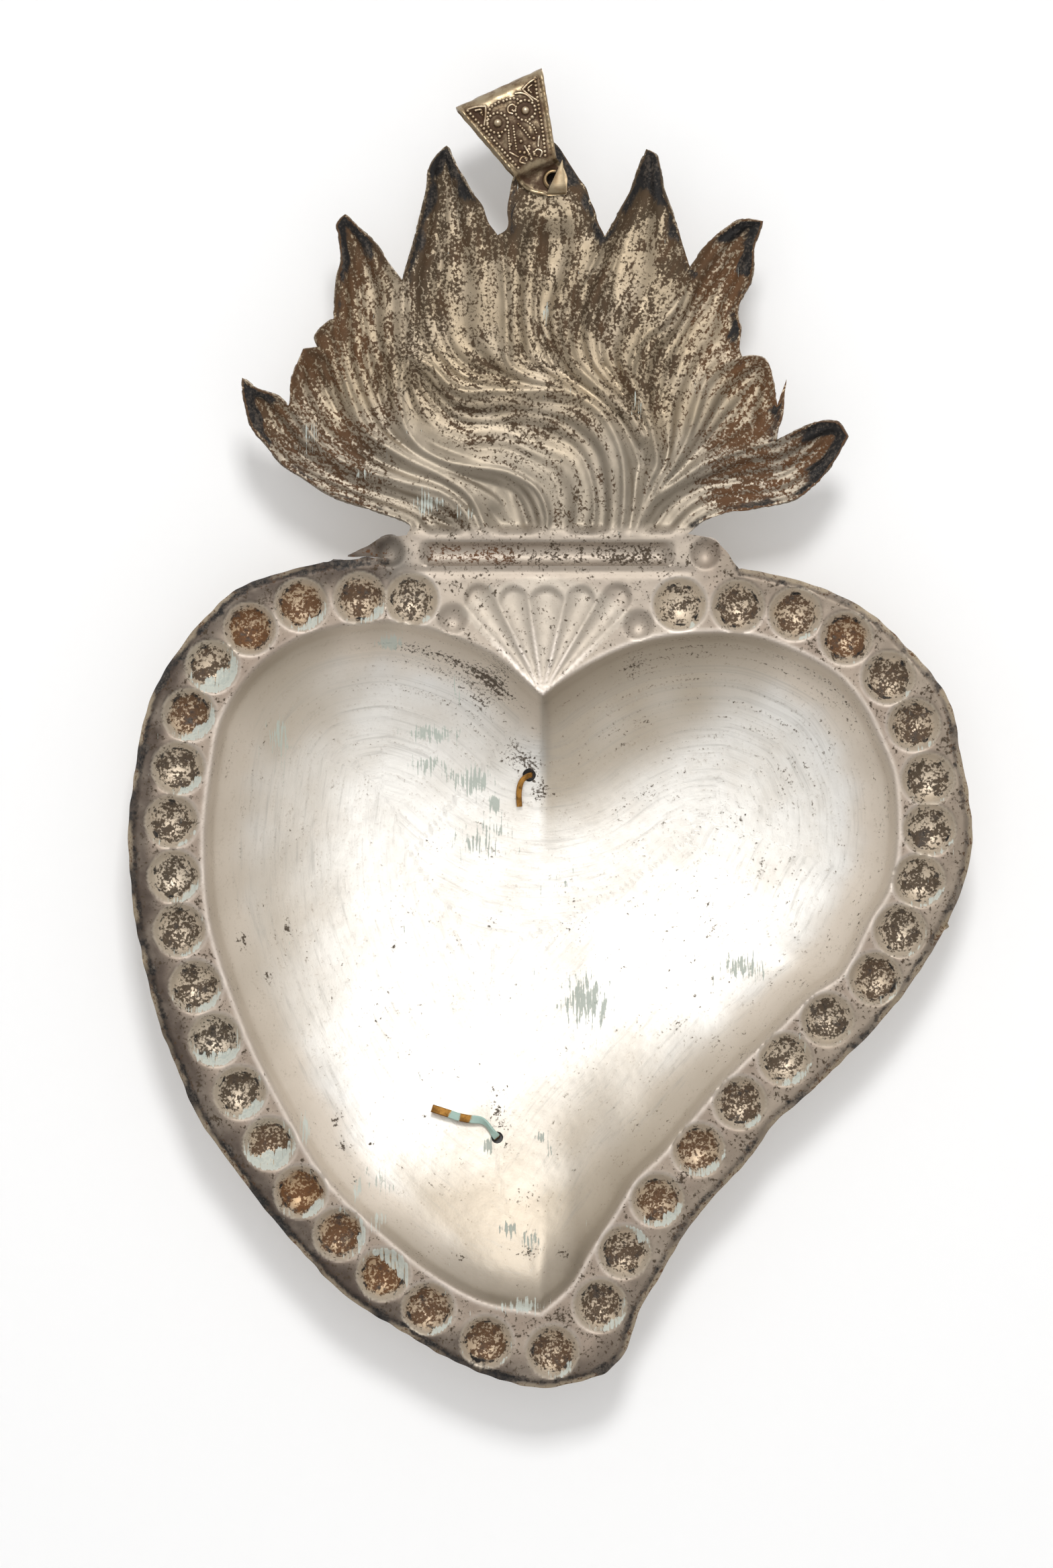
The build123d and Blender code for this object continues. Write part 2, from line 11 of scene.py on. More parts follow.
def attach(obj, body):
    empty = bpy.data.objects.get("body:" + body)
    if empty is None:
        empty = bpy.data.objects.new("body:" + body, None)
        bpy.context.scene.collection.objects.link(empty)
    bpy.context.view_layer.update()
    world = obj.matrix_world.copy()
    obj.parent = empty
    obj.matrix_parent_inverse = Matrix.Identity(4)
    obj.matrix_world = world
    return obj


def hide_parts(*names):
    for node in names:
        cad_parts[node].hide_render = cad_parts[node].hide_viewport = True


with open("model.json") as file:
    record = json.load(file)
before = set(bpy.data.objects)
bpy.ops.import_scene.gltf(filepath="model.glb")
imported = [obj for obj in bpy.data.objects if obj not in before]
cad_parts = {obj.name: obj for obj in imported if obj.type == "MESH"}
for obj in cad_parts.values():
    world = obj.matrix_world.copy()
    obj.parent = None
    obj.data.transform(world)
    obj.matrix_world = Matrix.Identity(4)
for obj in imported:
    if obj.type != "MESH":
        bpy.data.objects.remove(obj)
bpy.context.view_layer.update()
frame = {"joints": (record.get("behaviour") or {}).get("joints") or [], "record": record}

# Heart plate: one thin sheet of silver, raised from behind with punches over pitch, then trimmed
# with shears. We look into its hollow side: the dish, the sockets of the beaded border, the
# palmette, the collar and the flames. Its edge is turned over, and it hangs on the eyelet.
MM = 0.001
SHEET = 0.6
EYELET = (0.9, 58.4)
eyelet_place = Vector(frame["joints"][0]["pos_m"])
sheet_origin = eyelet_place - Vector((EYELET[0], SHEET / 2, EYELET[1])) * MM

# Places on the sheet are in millimetres from the middle of the collar, x right and z up, and depths
# run from the back of the sheet to its raised front. Tables of points are in tenths of a millimetre.
# Outer edge of the heart, from the left of the collar down to the tip and up again on the right
HEART_EDGE = (
    (-245, 22), (-313, 17), (-389, 2), (-461, -24), (-519, -77), (-553, -121), (-584, -171),
    (-603, -226), (-613, -284), (-623, -356), (-625, -390), (-623, -424), (-618, -493),
    (-608, -551), (-581, -663), (-552, -740), (-520, -813), (-466, -890), (-416, -955),
    (-358, -1021), (-297, -1082), (-228, -1124), (-155, -1168), (-89, -1197), (-28, -1214),
    (7, -1215), (43, -1207), (83, -1195), (115, -1164), (138, -1100), (170, -1045), (202, -990),
    (241, -939), (300, -875), (340, -820), (371, -793), (435, -733), (486, -682), (529, -631),
    (565, -579), (596, -522), (621, -463), (633, -404), (629, -338), (615, -268), (603, -202),
    (575, -154), (541, -117), (502, -77), (461, -48), (412, -24), (350, -6), (291, 6),
)
LEFT_VOLUTE_EDGE = (
    ((-245, 22), (-297, 23)),
    ((-297, 23), (-272, 38), (-240, 52), (-209, 55)),
)
RIGHT_VOLUTE_EDGE = (
    ((210, 57), (245, 49), (265, 34), (277, 14), (285, 5)),
    ((285, 5), (291, 6)),
)
# Edges of the flames, left to right, from corner to corner
FLAME_EDGES = (
    ((-209, 55), (-203, 69), (-255, 92), (-315, 112), (-365, 142), (-395, 162), (-420, 192),
     (-440, 217), (-450, 252), (-454, 289)),
    ((-454, 289), (-435, 274), (-415, 267), (-400, 260), (-387, 247)),
    ((-387, 247), (-383, 252), (-381, 282), (-375, 302), (-362, 333)),
    ((-362, 333), (-340, 334)),
    ((-340, 334), (-345, 352), (-327, 372), (-317, 377)),
    ((-317, 377), (-315, 402), (-311, 442), (-307, 462), (-310, 502), (-313, 517), (-301, 532)),
    ((-301, 532), (-275, 507), (-255, 487), (-235, 457), (-215, 432)),
    ((-215, 432), (-205, 467), (-193, 512), (-182, 552), (-177, 582), (-175, 602), (-165, 620),
     (-150, 635)),
    ((-150, 635), (-143, 622), (-133, 600), (-115, 569), (-95, 542), (-85, 517), (-75, 502)),
    ((-75, 502), (-59, 512), (-58, 542), (-56, 562), (-51, 587), (-30, 627), (-5, 652)),
    ((-5, 652), (13, 637), (27, 617), (45, 590), (57, 572), (67, 547), (75, 522), (85, 500)),
    ((85, 500), (97, 517), (110, 542), (125, 569), (137, 602), (145, 620), (148, 630)),
    ((148, 630), (163, 620), (167, 602), (173, 567), (185, 537), (195, 507), (205, 477), (212, 452)),
    ((212, 452), (225, 472), (240, 490), (265, 510), (290, 524), (321, 523)),
    ((321, 523), (315, 507), (308, 487), (305, 452), (300, 427), (288, 405), (283, 392), (285, 372),
     (288, 364), (285, 332), (290, 320)),
    ((290, 320), (320, 319), (328, 312), (335, 287), (340, 257), (342, 247)),
    ((342, 247), (356, 287)),
    ((356, 287), (350, 232), (343, 212), (339, 193)),
    ((339, 193), (365, 207), (385, 217), (405, 224), (425, 224), (433, 222), (447, 202)),
    ((447, 202), (435, 180), (420, 157), (405, 137), (385, 119), (365, 107), (335, 100), (305, 94),
     (275, 90), (245, 82), (225, 72), (210, 57)),
)
# Chased creases between the tongues of flame
FLAME_CREASES = (
    ((-215, 432), (-215, 322), (-218, 252), (-210, 212), (-190, 187), (-155, 167), (-115, 157),
     (-55, 147), (-15, 122), (0, 82), (-5, 47)),
    ((-317, 374), (-305, 302), (-270, 212), (-215, 172), (-155, 142), (-115, 112), (-90, 62)),
    ((-383, 249), (-365, 227), (-350, 202), (-325, 177), (-275, 152), (-215, 134), (-155, 117),
     (-125, 92), (-105, 52)),
    ((-210, 325), (-175, 307), (-135, 272), (-75, 270), (25, 267), (75, 242), (105, 192), (115, 132),
     (110, 52)),
    ((-70, 502), (-63, 432), (-60, 352), (-58, 312), (-25, 290), (15, 277), (65, 252)),
    ((85, 500), (65, 452), (45, 422), (33, 392), (27, 352), (40, 312), (75, 277), (125, 232),
     (145, 202)),
    ((212, 452), (195, 402), (170, 372), (145, 352), (130, 322), (125, 292), (140, 252), (155, 212),
     (163, 162), (150, 132), (140, 92), (130, 52)),
    ((289, 320), (265, 312), (235, 282), (225, 252), (210, 202), (190, 162), (170, 132), (160, 112)),
    ((339, 193), (315, 189), (275, 177), (235, 162), (205, 142), (175, 122), (155, 107), (140, 82)),
)
# Deepest line of each tongue, root to tip
FLAME_TROUGHS = (
    ((-115, 52), (-195, 97), (-295, 137), (-385, 187), (-430, 252)),
    ((-65, 57), (-135, 117), (-225, 162), (-305, 232), (-352, 317)),
    ((-25, 62), (-55, 127), (-135, 162), (-225, 212), (-265, 312), (-280, 422), (-298, 507)),
    ((65, 52), (70, 112), (45, 182), (-35, 217), (-135, 227), (-200, 292)),
    ((45, 262), (-55, 282), (-135, 322), (-160, 402), (-155, 512), (-152, 607)),
    ((135, 62), (135, 152), (95, 232), (25, 292), (-15, 372), (-10, 452), (-3, 522)),
    ((157, 162), (135, 242), (80, 322), (90, 422), (130, 542), (147, 612)),
    ((170, 162), (170, 252), (205, 352), (260, 442), (307, 507)),
    ((185, 137), (235, 192), (285, 252), (320, 297)),
    ((150, 62), (195, 112), (275, 140), (355, 152), (425, 197)),
)
# Edge of the dish, from the cleft round by the left
DISH_EDGE = (
    (-7, -184), (-80, -123), (-163, -87), (-242, -72), (-355, -91), (-416, -126), (-461, -174),
    (-488, -226), (-500, -287), (-511, -390), (-507, -493), (-495, -554), (-466, -640), (-435, -717),
    (-393, -798), (-343, -886), (-297, -940), (-232, -998), (-174, -1044), (-97, -1086), (-10, -1103),
    (36, -1061), (63, -1014), (99, -958), (131, -907), (178, -860), (241, -785), (289, -733),
    (336, -690), (395, -631), (439, -599), (482, -518), (510, -470), (522, -397), (516, -303),
    (497, -251), (471, -199), (433, -154), (367, -116), (298, -93), (211, -91), (134, -105),
    (65, -135), (13, -168), (-7, -184),
)
DISH_CENTRE = np.array((0.5, -46.0))
DISH_DEPTH = 13.0
DISH_FULLNESS = 2.3         # 2 is an ellipse in section, more is fuller
DISH_FLOOR = 0.975          # share of the full depth where the floor goes flat
DISH_SOFTNESS = 4.5         # width over which the hammer evened out its floor
DISH_TIP = 20               # number of the point of DISH_EDGE that is its tip
CLEFT_FILL = 9.4            # height by which the cleft fades out towards the middle
CLEFT_DROP = 1.5            # from the top of the lobes down to the level that it is filled to
CLEFT_SPREAD = (0.75, 0.45)  # radians from straight up where that begins and is full
# Centres of the bosses
BOSSES = (
    (-202, -41), (-279, -39), (-367, -48), (-443, -84), (-500, -140), (-534, -212), (-550, -292),
    (-560, -371), (-556, -453), (-548, -533), (-524, -617), (-495, -696), (-458, -775), (-414, -851),
    (-368, -923), (-310, -986), (-245, -1046), (-178, -1097), (-91, -1147), (8, -1161), (79, -1092),
    (115, -1012), (164, -935), (225, -860), (287, -790), (354, -725), (417, -666), (488, -605),
    (525, -534), (553, -459), (569, -383), (567, -308), (546, -227), (508, -157), (445, -98),
    (369, -62), (284, -51), (197, -48),
)
BOSS_RADIUS = 3.92
BOSS_DEPTH = 2.5
SMALL_BOSSES = ((-141, -70), (136, -79))
SMALL_BOSS_RADIUS = 2.1
SMALL_BOSS_DEPTH = 1.0
VOLUTES = ((-234, 30), (235, 27))
VOLUTE_RADIUS = 2.1
VOLUTE_DEPTH = 1.2
RIM_TURN = 1.5
RIM_WIDTH = 1.3
RIM_CURL = 1.6              # 1 is a plain bevel, more turns sharper at the edge
COLLAR_HALF_LENGTH = 19.3
COLLAR_HALF_HEIGHT = 1.7
COLLAR_RISE = 2.7
COLLAR_DEPTH = 1.5
COLLAR_BEAD_RISE = 0.1
COLLAR_BEAD_WIDTH = 0.7
COLLAR_BEAD_DEPTH = 0.3
PALMETTE_FOOT = np.array((-0.7, -18.3))
PALMETTE_RIBS = (-41.0, -26.0, -8.4, 13.5, 30.4, 44.7)   # degrees from straight up
PALMETTE_REACH = 16.2
PALMETTE_SCALLOP = 1.6      # how far the corners of a flute's end fall back
PALMETTE_DEPTH = 0.65
FLAME_DEPTH = 1.6
FLAME_SLOPE = 0.55          # depth of a narrow tongue for its half width
FLAME_FOLD = 0.16
FOLDS_ACROSS = 2.5          # folds from the middle of a tongue to its wall
FLAT_SEAT = (5.5, 9.0)      # from the eyelet to the end of the flat seat, and to the full flame
TAB_HOLES = ((-2.7, -30.2, 1.0), (-7.5, -84.7, 0.9))
EYELET_HOLE = 1.17
HOLE_CORNERS = 28           # of the many-sided shape that stands for a round hole
HAMMERING = 0.05
FINE_HAMMERING = 0.02
RAGGED_TRIM = 0.1           # how far the shears strayed
WAVES = 9                   # that make up a random ripple
FINE = 0.36                 # spacing of the mesh on the chased work
LINE_STEP = 0.1             # spacing of the samples along a line


def flowing(points, step, closed=False):
    """Smooth line through points given in tenths of a millimetre, sampled about every step."""
    places = np.array(points, float) / 10
    if closed:
        places = np.vstack([places[-2], places, places[1]])
    else:
        places = np.vstack([2 * places[0] - places[1], places, 2 * places[-1] - places[-2]])
    samples = []
    for a, b, c, d in zip(places, places[1:], places[2:], places[3:]):
        ab, bc, cd = (np.linalg.norm(q - p) ** 0.5 for p, q in ((a, b), (b, c), (c, d)))
        leave = bc * ((b - a) / ab - (c - a) / (ab + bc) + (c - b) / bc)
        arrive = bc * ((c - b) / bc - (d - b) / (bc + cd) + (d - c) / cd)
        count = max(1, math.ceil(np.linalg.norm(c - b) / step))
        t = (np.arange(count) / count)[:, None]
        samples.append(
            (2 * t**3 - 3 * t**2 + 1) * b + (t**3 - 2 * t**2 + t) * leave
            + (3 * t**2 - 2 * t**3) * c + (t**3 - t**2) * arrive
        )
    samples.append(places[-2:-1])
    return np.vstack(samples)


def nearest(lines, places):
    """Distance from each place to some closely sampled lines, and the number of the sample met."""
    samples = np.vstack(lines)
    tree = KDTree(len(samples))
    for number, (across, up) in enumerate(samples):
        tree.insert((across, up, 0), number)
    tree.balance()
    met = [tree.find((across, up, 0)) for across, up in places.tolist()]
    return np.array([m[2] for m in met]), np.array([m[1] for m in met])


def ripple(places, size, seed):
    """Smooth random waves of about a given size, mostly between -1 and 1."""
    draw = np.random.default_rng(seed)
    height = np.zeros(len(places))
    for _ in range(WAVES):
        heading, phase = draw.uniform(0, 2 * math.pi, 2)
        length = size * draw.uniform(0.7, 1.5)
        along = places @ np.array((math.cos(heading), math.sin(heading)))
        height += np.sin(2 * math.pi * along / length + phase)
    return height / (WAVES / 2)


def ease(value, low, high):
    """Smooth step from 0 at low to 1 at high."""
    share = np.clip((value - low) / (high - low), 0, 1)
    return share * share * (3 - 2 * share)


def bell(value, middle, width):
    """Smooth hump, 1 at its middle and fading out on both sides over about its width."""
    return np.exp(-(((value - middle) / width) ** 2))


# Outline of the whole sheet, clockwise from the slit under the left volute, with a ragged trim
trim = np.vstack(
    [flowing(edge, FINE)[:-1] for edge in (*LEFT_VOLUTE_EDGE, *FLAME_EDGES, *RIGHT_VOLUTE_EDGE)]
    + [flowing(HEART_EDGE, FINE)[:0:-1]]
)
trim += RAGGED_TRIM * np.column_stack([ripple(trim, 3.2, 1), ripple(trim, 3.2, 2)])
heart_line = flowing(HEART_EDGE, LINE_STEP)
flame_lines = [flowing(edge, LINE_STEP) for edge in FLAME_EDGES]
dish_line = np.vstack([
    flowing(DISH_EDGE[: DISH_TIP + 1], LINE_STEP)[:-1],
    flowing(DISH_EDGE[DISH_TIP:], LINE_STEP),
])
creases = [flowing(line, LINE_STEP) for line in FLAME_CREASES]
troughs = [flowing(line, LINE_STEP) for line in FLAME_TROUGHS]
boss_places = np.array(BOSSES) / 10


def polar(places):
    """Distance of each place from the middle of the dish, of the dish's edge that way, and the way."""
    rim_arm = dish_line - DISH_CENTRE
    rim_angle = np.arctan2(rim_arm[:, 1], rim_arm[:, 0])
    order = np.argsort(rim_angle)
    arm = places - DISH_CENTRE
    angle = np.arctan2(arm[:, 1], arm[:, 0])
    reach = np.interp(angle, rim_angle[order], np.hypot(*rim_arm[order].T), period=2 * math.pi)
    return np.hypot(*arm.T), reach, angle


def fill(outline, holes, step, coarse=None):
    """Flat triangles inside an outline and outside round holes, finer where coarse(points) is false."""
    low, high = outline.min(0), outline.max(0)
    following = np.roll(outline, -1, 0)
    net = []
    for number, row in enumerate(np.arange(low[1], high[1], step * math.sqrt(3) / 2)):
        cut = (outline[:, 1] > row) != (following[:, 1] > row)
        slope = (following[cut, 0] - outline[cut, 0]) / (following[cut, 1] - outline[cut, 1])
        crossings = np.sort(outline[cut, 0] + (row - outline[cut, 1]) * slope)
        across = np.arange(low[0], high[0], step) + step / 2 * (number % 2)
        kept = np.searchsorted(crossings, across) % 2 == 1
        points = np.column_stack([across, np.full(len(across), row)])
        if coarse is not None:
            kept &= ~coarse(points) | ((np.arange(len(across)) % 2 == 0) & (number % 2 == 0))
        net.append(points[kept])
    net = np.vstack(net)
    net = net[nearest([outline], net)[0] > step * 0.5]
    loops = [outline]
    for x, z, radius in holes:
        net = net[np.hypot(net[:, 0] - x, net[:, 1] - z) > radius + step * 0.4]
        turn = np.linspace(0, 2 * math.pi, HOLE_CORNERS, endpoint=False)
        loops.append(np.column_stack([x + radius * np.cos(turn), z + radius * np.sin(turn)]))
    edges, start = [], 0
    for loop in loops:
        edges += [(start + i, start + (i + 1) % len(loop)) for i in range(len(loop))]
        start += len(loop)
    cut = delaunay_2d_cdt([Vector(p) for p in np.vstack(loops + [net])], edges, [], 1, 1e-6)
    places, triangles = np.array([tuple(v) for v in cut[0]]), np.array(cut[2])
    middles = places[triangles].mean(1)
    solid = np.ones(len(triangles), bool)
    for x, z, radius in holes:
        solid &= np.hypot(middles[:, 0] - x, middles[:, 1] - z) > radius * 0.98
    return places, triangles[solid]


def in_coarse_dish(points):
    """Whether points are well inside the dish, where a coarser mesh will do."""
    away, reach, _ = polar(points)
    return away < reach - 2


places, triangles = fill(trim, [(*EYELET, EYELET_HOLE), *TAB_HOLES], FINE, in_coarse_dish)

# Depth of each point, from the back of the flat sheet
x, z = places.T
edge_gap = nearest([heart_line], places)[0]
flame_gap, flame_sample = nearest(flame_lines, places)
flame = ease(z, 5.2, 7.4)
boss_gaps = np.hypot(x[:, None] - boss_places[:, 0], z[:, None] - boss_places[:, 1])
boss_gap, boss_number = boss_gaps.min(1), boss_gaps.argmin(1)


def dish_depth(places):
    """Depth of the dish: its edge drawn smaller and smaller about the middle as it gets deeper."""
    away, reach, angle = polar(places)
    level = dish_line[:, 1].max() - CLEFT_DROP - DISH_CENTRE[1]
    filling = np.clip(level / np.maximum(np.sin(angle), 0.3) - reach, 0, CLEFT_FILL)
    filling *= ease(np.abs(angle - math.pi / 2), *CLEFT_SPREAD)
    span = reach + filling
    root = np.sqrt(np.maximum(span**2 - 4 * filling * away, 0))
    size = np.where(filling > 0.01, (span - root) / np.maximum(2 * filling, 0.02), away / reach)
    raised = (1 - np.clip(size, 0, 1) ** DISH_FULLNESS) ** (1 / DISH_FULLNESS)
    return DISH_DEPTH * np.minimum(raised / DISH_FLOOR, 1)


# The same dish evened out by the hammer, kept as a map with one value to a millimetre
MAP_MARGIN = 4
map_low = np.floor(dish_line.min(0)) - MAP_MARGIN
map_size = (np.ceil(dish_line.max(0)) + MAP_MARGIN - map_low).astype(int) + 1
map_x, map_z = np.meshgrid(
    *(low + np.arange(count) for low, count in zip(map_low, map_size)), indexing="ij"
)
even_map = dish_depth(np.column_stack([map_x.ravel(), map_z.ravel()])).reshape(map_x.shape)
blow_reach = math.ceil(3 * DISH_SOFTNESS)
blow = np.exp(-((np.arange(-blow_reach, blow_reach + 1) / DISH_SOFTNESS) ** 2) / 2)
blow /= blow.sum()
for axis in (0, 1):
    even_map = np.apply_along_axis(lambda row: np.convolve(row, blow, mode="same"), axis, even_map)


def dish_gap_of(places):
    """Distance from the edge of the dish, more than zero inside it, and the sample of the edge met."""
    gap, sample = nearest([dish_line], places)
    away, reach, _ = polar(places)
    return gap * np.where(away < reach, 1, -1), sample


def dish_floor(places):
    """Depth of the finished dish: crisp at its edge and below the cleft, evened out elsewhere."""
    gap, _ = dish_gap_of(places)
    crisp = dish_depth(places) * ease(gap, -0.1, 1.3)
    spot = np.clip(places - map_low, 0, map_size - 1.001)
    cell, (fx, fz) = spot.astype(int), (spot % 1).T
    i, j = cell.T
    even = (even_map[i, j] * (1 - fx) + even_map[i + 1, j] * fx) * (1 - fz)
    even += (even_map[i, j + 1] * (1 - fx) + even_map[i + 1, j + 1] * fx) * fz
    below_cleft = bell(places[:, 0], -1.7, 5) * ease(places[:, 1], -40, -26)
    return crisp + (even - crisp) * ease(gap, 4, 15) * (1 - 0.75 * below_cleft)


def cap(gap, radius, depth, lip=0.22):
    """Depth of a round punch mark with a soft lip, by distance from its centre."""
    ball = (radius**2 + depth**2) / (2 * depth)
    sink = np.sqrt(np.maximum(ball**2 - gap**2, 0)) - (ball - depth)
    return lip * np.logaddexp(0, sink / lip)


dish_gap, dish_sample = dish_gap_of(places)
depth = dish_floor(places)
depth += cap(boss_gap, BOSS_RADIUS, BOSS_DEPTH) * (boss_gap < BOSS_RADIUS + 1.2) * (dish_gap < 0.5)
for centres, radius, sink in (
    (SMALL_BOSSES, SMALL_BOSS_RADIUS, SMALL_BOSS_DEPTH),
    (VOLUTES, VOLUTE_RADIUS, VOLUTE_DEPTH),
):
    for cx, cz in centres:
        gap = np.hypot(x - cx / 10, z - cz / 10)
        depth += cap(gap, radius, sink) * (gap < radius + 0.8)
depth += RIM_TURN * np.clip(1 - edge_gap / RIM_WIDTH, 0, 1) ** RIM_CURL * ease(z, 3.0, 0.0)
collar = np.clip(1 - ((z - COLLAR_RISE) / COLLAR_HALF_HEIGHT) ** 2, 0, 1) ** 0.5
collar *= ease(np.abs(x), COLLAR_HALF_LENGTH, COLLAR_HALF_LENGTH - 2.5)
depth += COLLAR_DEPTH * collar
collar_bead = bell(z, COLLAR_BEAD_RISE, COLLAR_BEAD_WIDTH)
collar_bead *= ease(np.abs(x), COLLAR_HALF_LENGTH + 4, COLLAR_HALF_LENGTH)
depth += COLLAR_BEAD_DEPTH * collar_bead
# Palmette: five flutes that spread from the cleft and end in round scallops
fan = places - PALMETTE_FOOT
fan_angle = np.degrees(np.arctan2(fan[:, 0], np.maximum(fan[:, 1], 1e-6)))
fan_reach = np.hypot(*fan.T)
flute = np.zeros(len(places))
for left, right in zip(PALMETTE_RIBS, PALMETTE_RIBS[1:]):
    across = (2 * fan_angle - left - right) / (right - left)
    end = PALMETTE_REACH / np.cos(np.radians((left + right) / 2)) - PALMETTE_SCALLOP * across**2
    within = (np.abs(across) < 1) & (fan[:, 1] > 0)
    bowl = np.clip(1 - across**2, 0, 1) * ease(fan_reach, end + 0.1, end - 0.9)
    flute = np.where(within, bowl * (fan_reach / PALMETTE_REACH) ** 0.7, flute)
depth += PALMETTE_DEPTH * flute * (dish_gap < 0.3)
# Flames: round troughs between the creases, with softer folds along them
crease_gap = nearest(creases, places)[0]
trough_gap, trough_sample = nearest(troughs, places)
wall_gap = np.minimum(crease_gap, flame_gap)
half_width = trough_gap + wall_gap
tongue_across = trough_gap / np.maximum(half_width, 1e-6)
tongue = np.minimum(FLAME_DEPTH, FLAME_SLOPE * half_width)
tongue *= 0.5 + 0.5 * np.cos(tongue_across * math.pi)
fold_wave = np.cos(tongue_across * 2 * math.pi * FOLDS_ACROSS + ripple(places, 12, 7))
folded = ease(half_width, 1.5, 3.5)
folds = FLAME_FOLD * fold_wave * folded
flat_seat = ease(np.hypot(x - EYELET[0], z - EYELET[1]), *FLAT_SEAT)
depth += (tongue + folds) * flame * flat_seat
depth += HAMMERING * ripple(places, 9, 3) * ease(dish_gap, 0.5, -0.5)
depth += FINE_HAMMERING * ripple(places, 1.6, 4)


def on_sheet(spots, depth):
    """Places in space from places on the sheet and their depths."""
    return np.column_stack([spots[:, 0], depth, spots[:, 1]]) * MM + np.array(sheet_origin)


def unit(arrows):
    """The same directions, each one long."""
    return arrows / np.linalg.norm(arrows, axis=1)[:, None]


def normals_of(points, triangles):
    """Direction that a surface faces at each of its points."""
    corners = points[triangles]
    facing = np.cross(corners[:, 1] - corners[:, 0], corners[:, 2] - corners[:, 0])
    normals = np.zeros_like(points)
    for corner in range(3):
        np.add.at(normals, triangles[:, corner], facing)
    return unit(normals)


def facing_back(points, triangles):
    """The same triangles, turned about if they faced the front."""
    return triangles[:, ::-1] if normals_of(points, triangles)[:, 1].mean() > 0 else triangles


def skin(one_side, other_side, triangles):
    """Points and faces of a sheet: its two sides, joined round every edge."""
    count = len(one_side)
    sides = np.vstack([triangles[:, [0, 1]], triangles[:, [1, 2]], triangles[:, [2, 0]]])
    lone = ~np.isin(sides[:, 0] * count + sides[:, 1], sides[:, 1] * count + sides[:, 0])
    faces = triangles.tolist() + (triangles[:, ::-1] + count).tolist()
    faces += [(b, a, a + count, b + count) for a, b in sides[lone].tolist()]
    return np.vstack([one_side, other_side]), faces


def new_piece(name, points, faces, crisp=40):
    """A smooth piece of the object, with its edges crisp where they turn by more than some degrees."""
    mesh = bpy.data.meshes.new(name)
    mesh.from_pydata(points.tolist(), [], faces)
    mesh.polygons.foreach_set("use_smooth", np.ones(len(faces), bool))
    mesh.set_sharp_from_angle(angle=math.radians(crisp))
    mesh.update()
    piece = bpy.data.objects.new(name, mesh)
    bpy.context.scene.collection.objects.link(piece)
    return piece


def paint(piece, name, values):
    """Keep a value for each point of a piece, for its finish to use."""
    values = np.asarray(values, np.float32)
    kind = {1: ("FLOAT", "value"), 3: ("FLOAT_VECTOR", "vector"), 4: ("FLOAT_COLOR", "color")}
    layer_kind, key = kind[1 if values.ndim == 1 else values.shape[1]]
    layer = piece.data.attributes.new(name, layer_kind, "POINT")
    layer.data.foreach_set(key, values.ravel())


back = on_sheet(places, depth)
triangles = facing_back(back, triangles)
front = back - normals_of(back, triangles) * SHEET * MM
heart = new_piece("heart_sheet", *skin(back, front, triangles), crisp=60)

# Finish of the sheet: satin silver in the dish, matt and pinkish on the border, brown speckled
# tarnish in the sockets and flames, black along the edges and tips, pale green-white polish dried in
# the corners, and painted shade and painted highlights in the tint. Numbers for each boss or edge run
# from 0 to 9, in the order of its table.
BOSS_CHALK = (
    2, 4, 5, 1, 9, 6, 4, 2, 4, 3, 4, 7, 5, 9, 4, 4, 8, 3, 2, 3, 4, 4, 5, 4, 3, 4, 2, 2, 2, 3, 2, 2, 2,
    2, 1, 2, 1, 2,
)
BOSS_GOLD = (
    2, 4, 6, 7, 3, 5, 2, 2, 1, 2, 2, 1, 2, 4, 8, 6, 7, 5, 5, 4, 3, 3, 5, 5, 3, 2, 2, 3, 2, 2, 2, 2, 3,
    3, 6, 4, 3, 2,
)
EDGE_SOOT = (6, 2, 3, 4, 3, 7, 3, 8, 5, 6, 8, 8, 8, 4, 8, 5, 8, 6, 6, 8)
STRONGEST = 9               # of the numbers above
TIP_EDGES = (0, 5, 7, 9, 11, 13, 18)    # numbers of the FLAME_EDGES that end in a black tip
# Way in degrees in which the polish gathered in a socket, low right unless named here by number
CHALK_WAY = -53
CHALK_TURNED = {11: -80, 13: -75, 15: -5, 16: 48, 21: 50}
# Dabs of dried polish: place, half width, half height and strength
CHALK_DABS = (
    (-23.5, -10.3, 2.0, 1.5, 1.0), (-13.7, -17.3, 0.5, 2.2, 0.8), (-17.0, -24.0, 5.0, 1.6, 0.75),
    (-18.5, -28.6, 3.4, 1.6, 0.7), (-11.5, -31.0, 4.2, 2.4, 0.75), (-7.8, -34.6, 0.9, 1.7, 1.0),
    (-9.5, -39.5, 4.8, 3.0, 0.62), (5.7, -64.0, 4.2, 4.0, 0.85), (29.5, -58.8, 4.2, 2.6, 0.7),
    (-1.2, -84.6, 1.2, 0.8, 0.8), (0.6, -86.2, 0.9, 1.6, 0.7), (-6.0, -98.2, 1.7, 1.0, 0.8),
    (-2.5, -99.8, 1.6, 1.6, 0.7), (-40.0, -24.8, 2.2, 5.0, 0.6), (-8.8, -85.9, 0.9, 1.4, 1.1),
    (-4.0, -109.4, 4.0, 1.2, 0.8), (-36.2, -83.2, 0.7, 2.6, 0.75), (-28.4, -92.2, 0.8, 2.0, 0.75),
    (-25.2, -96.6, 1.0, 1.8, 0.75), (1.5, -47.0, 2.5, 3.0, 0.45), (-35.0, 20.5, 1.6, 2.6, 0.6),
    (-27.5, 14.7, 1.6, 1.0, 0.6), (-18.0, 10.2, 2.8, 1.8, 0.75), (13.2, 25.2, 0.9, 1.6, 0.7),
    (-0.3, 38.7, 0.9, 2.6, 0.6), (-25.5, -91.0, 3.0, 3.0, 0.45), (-12.0, 9.0, 2.0, 1.2, 0.55),
)
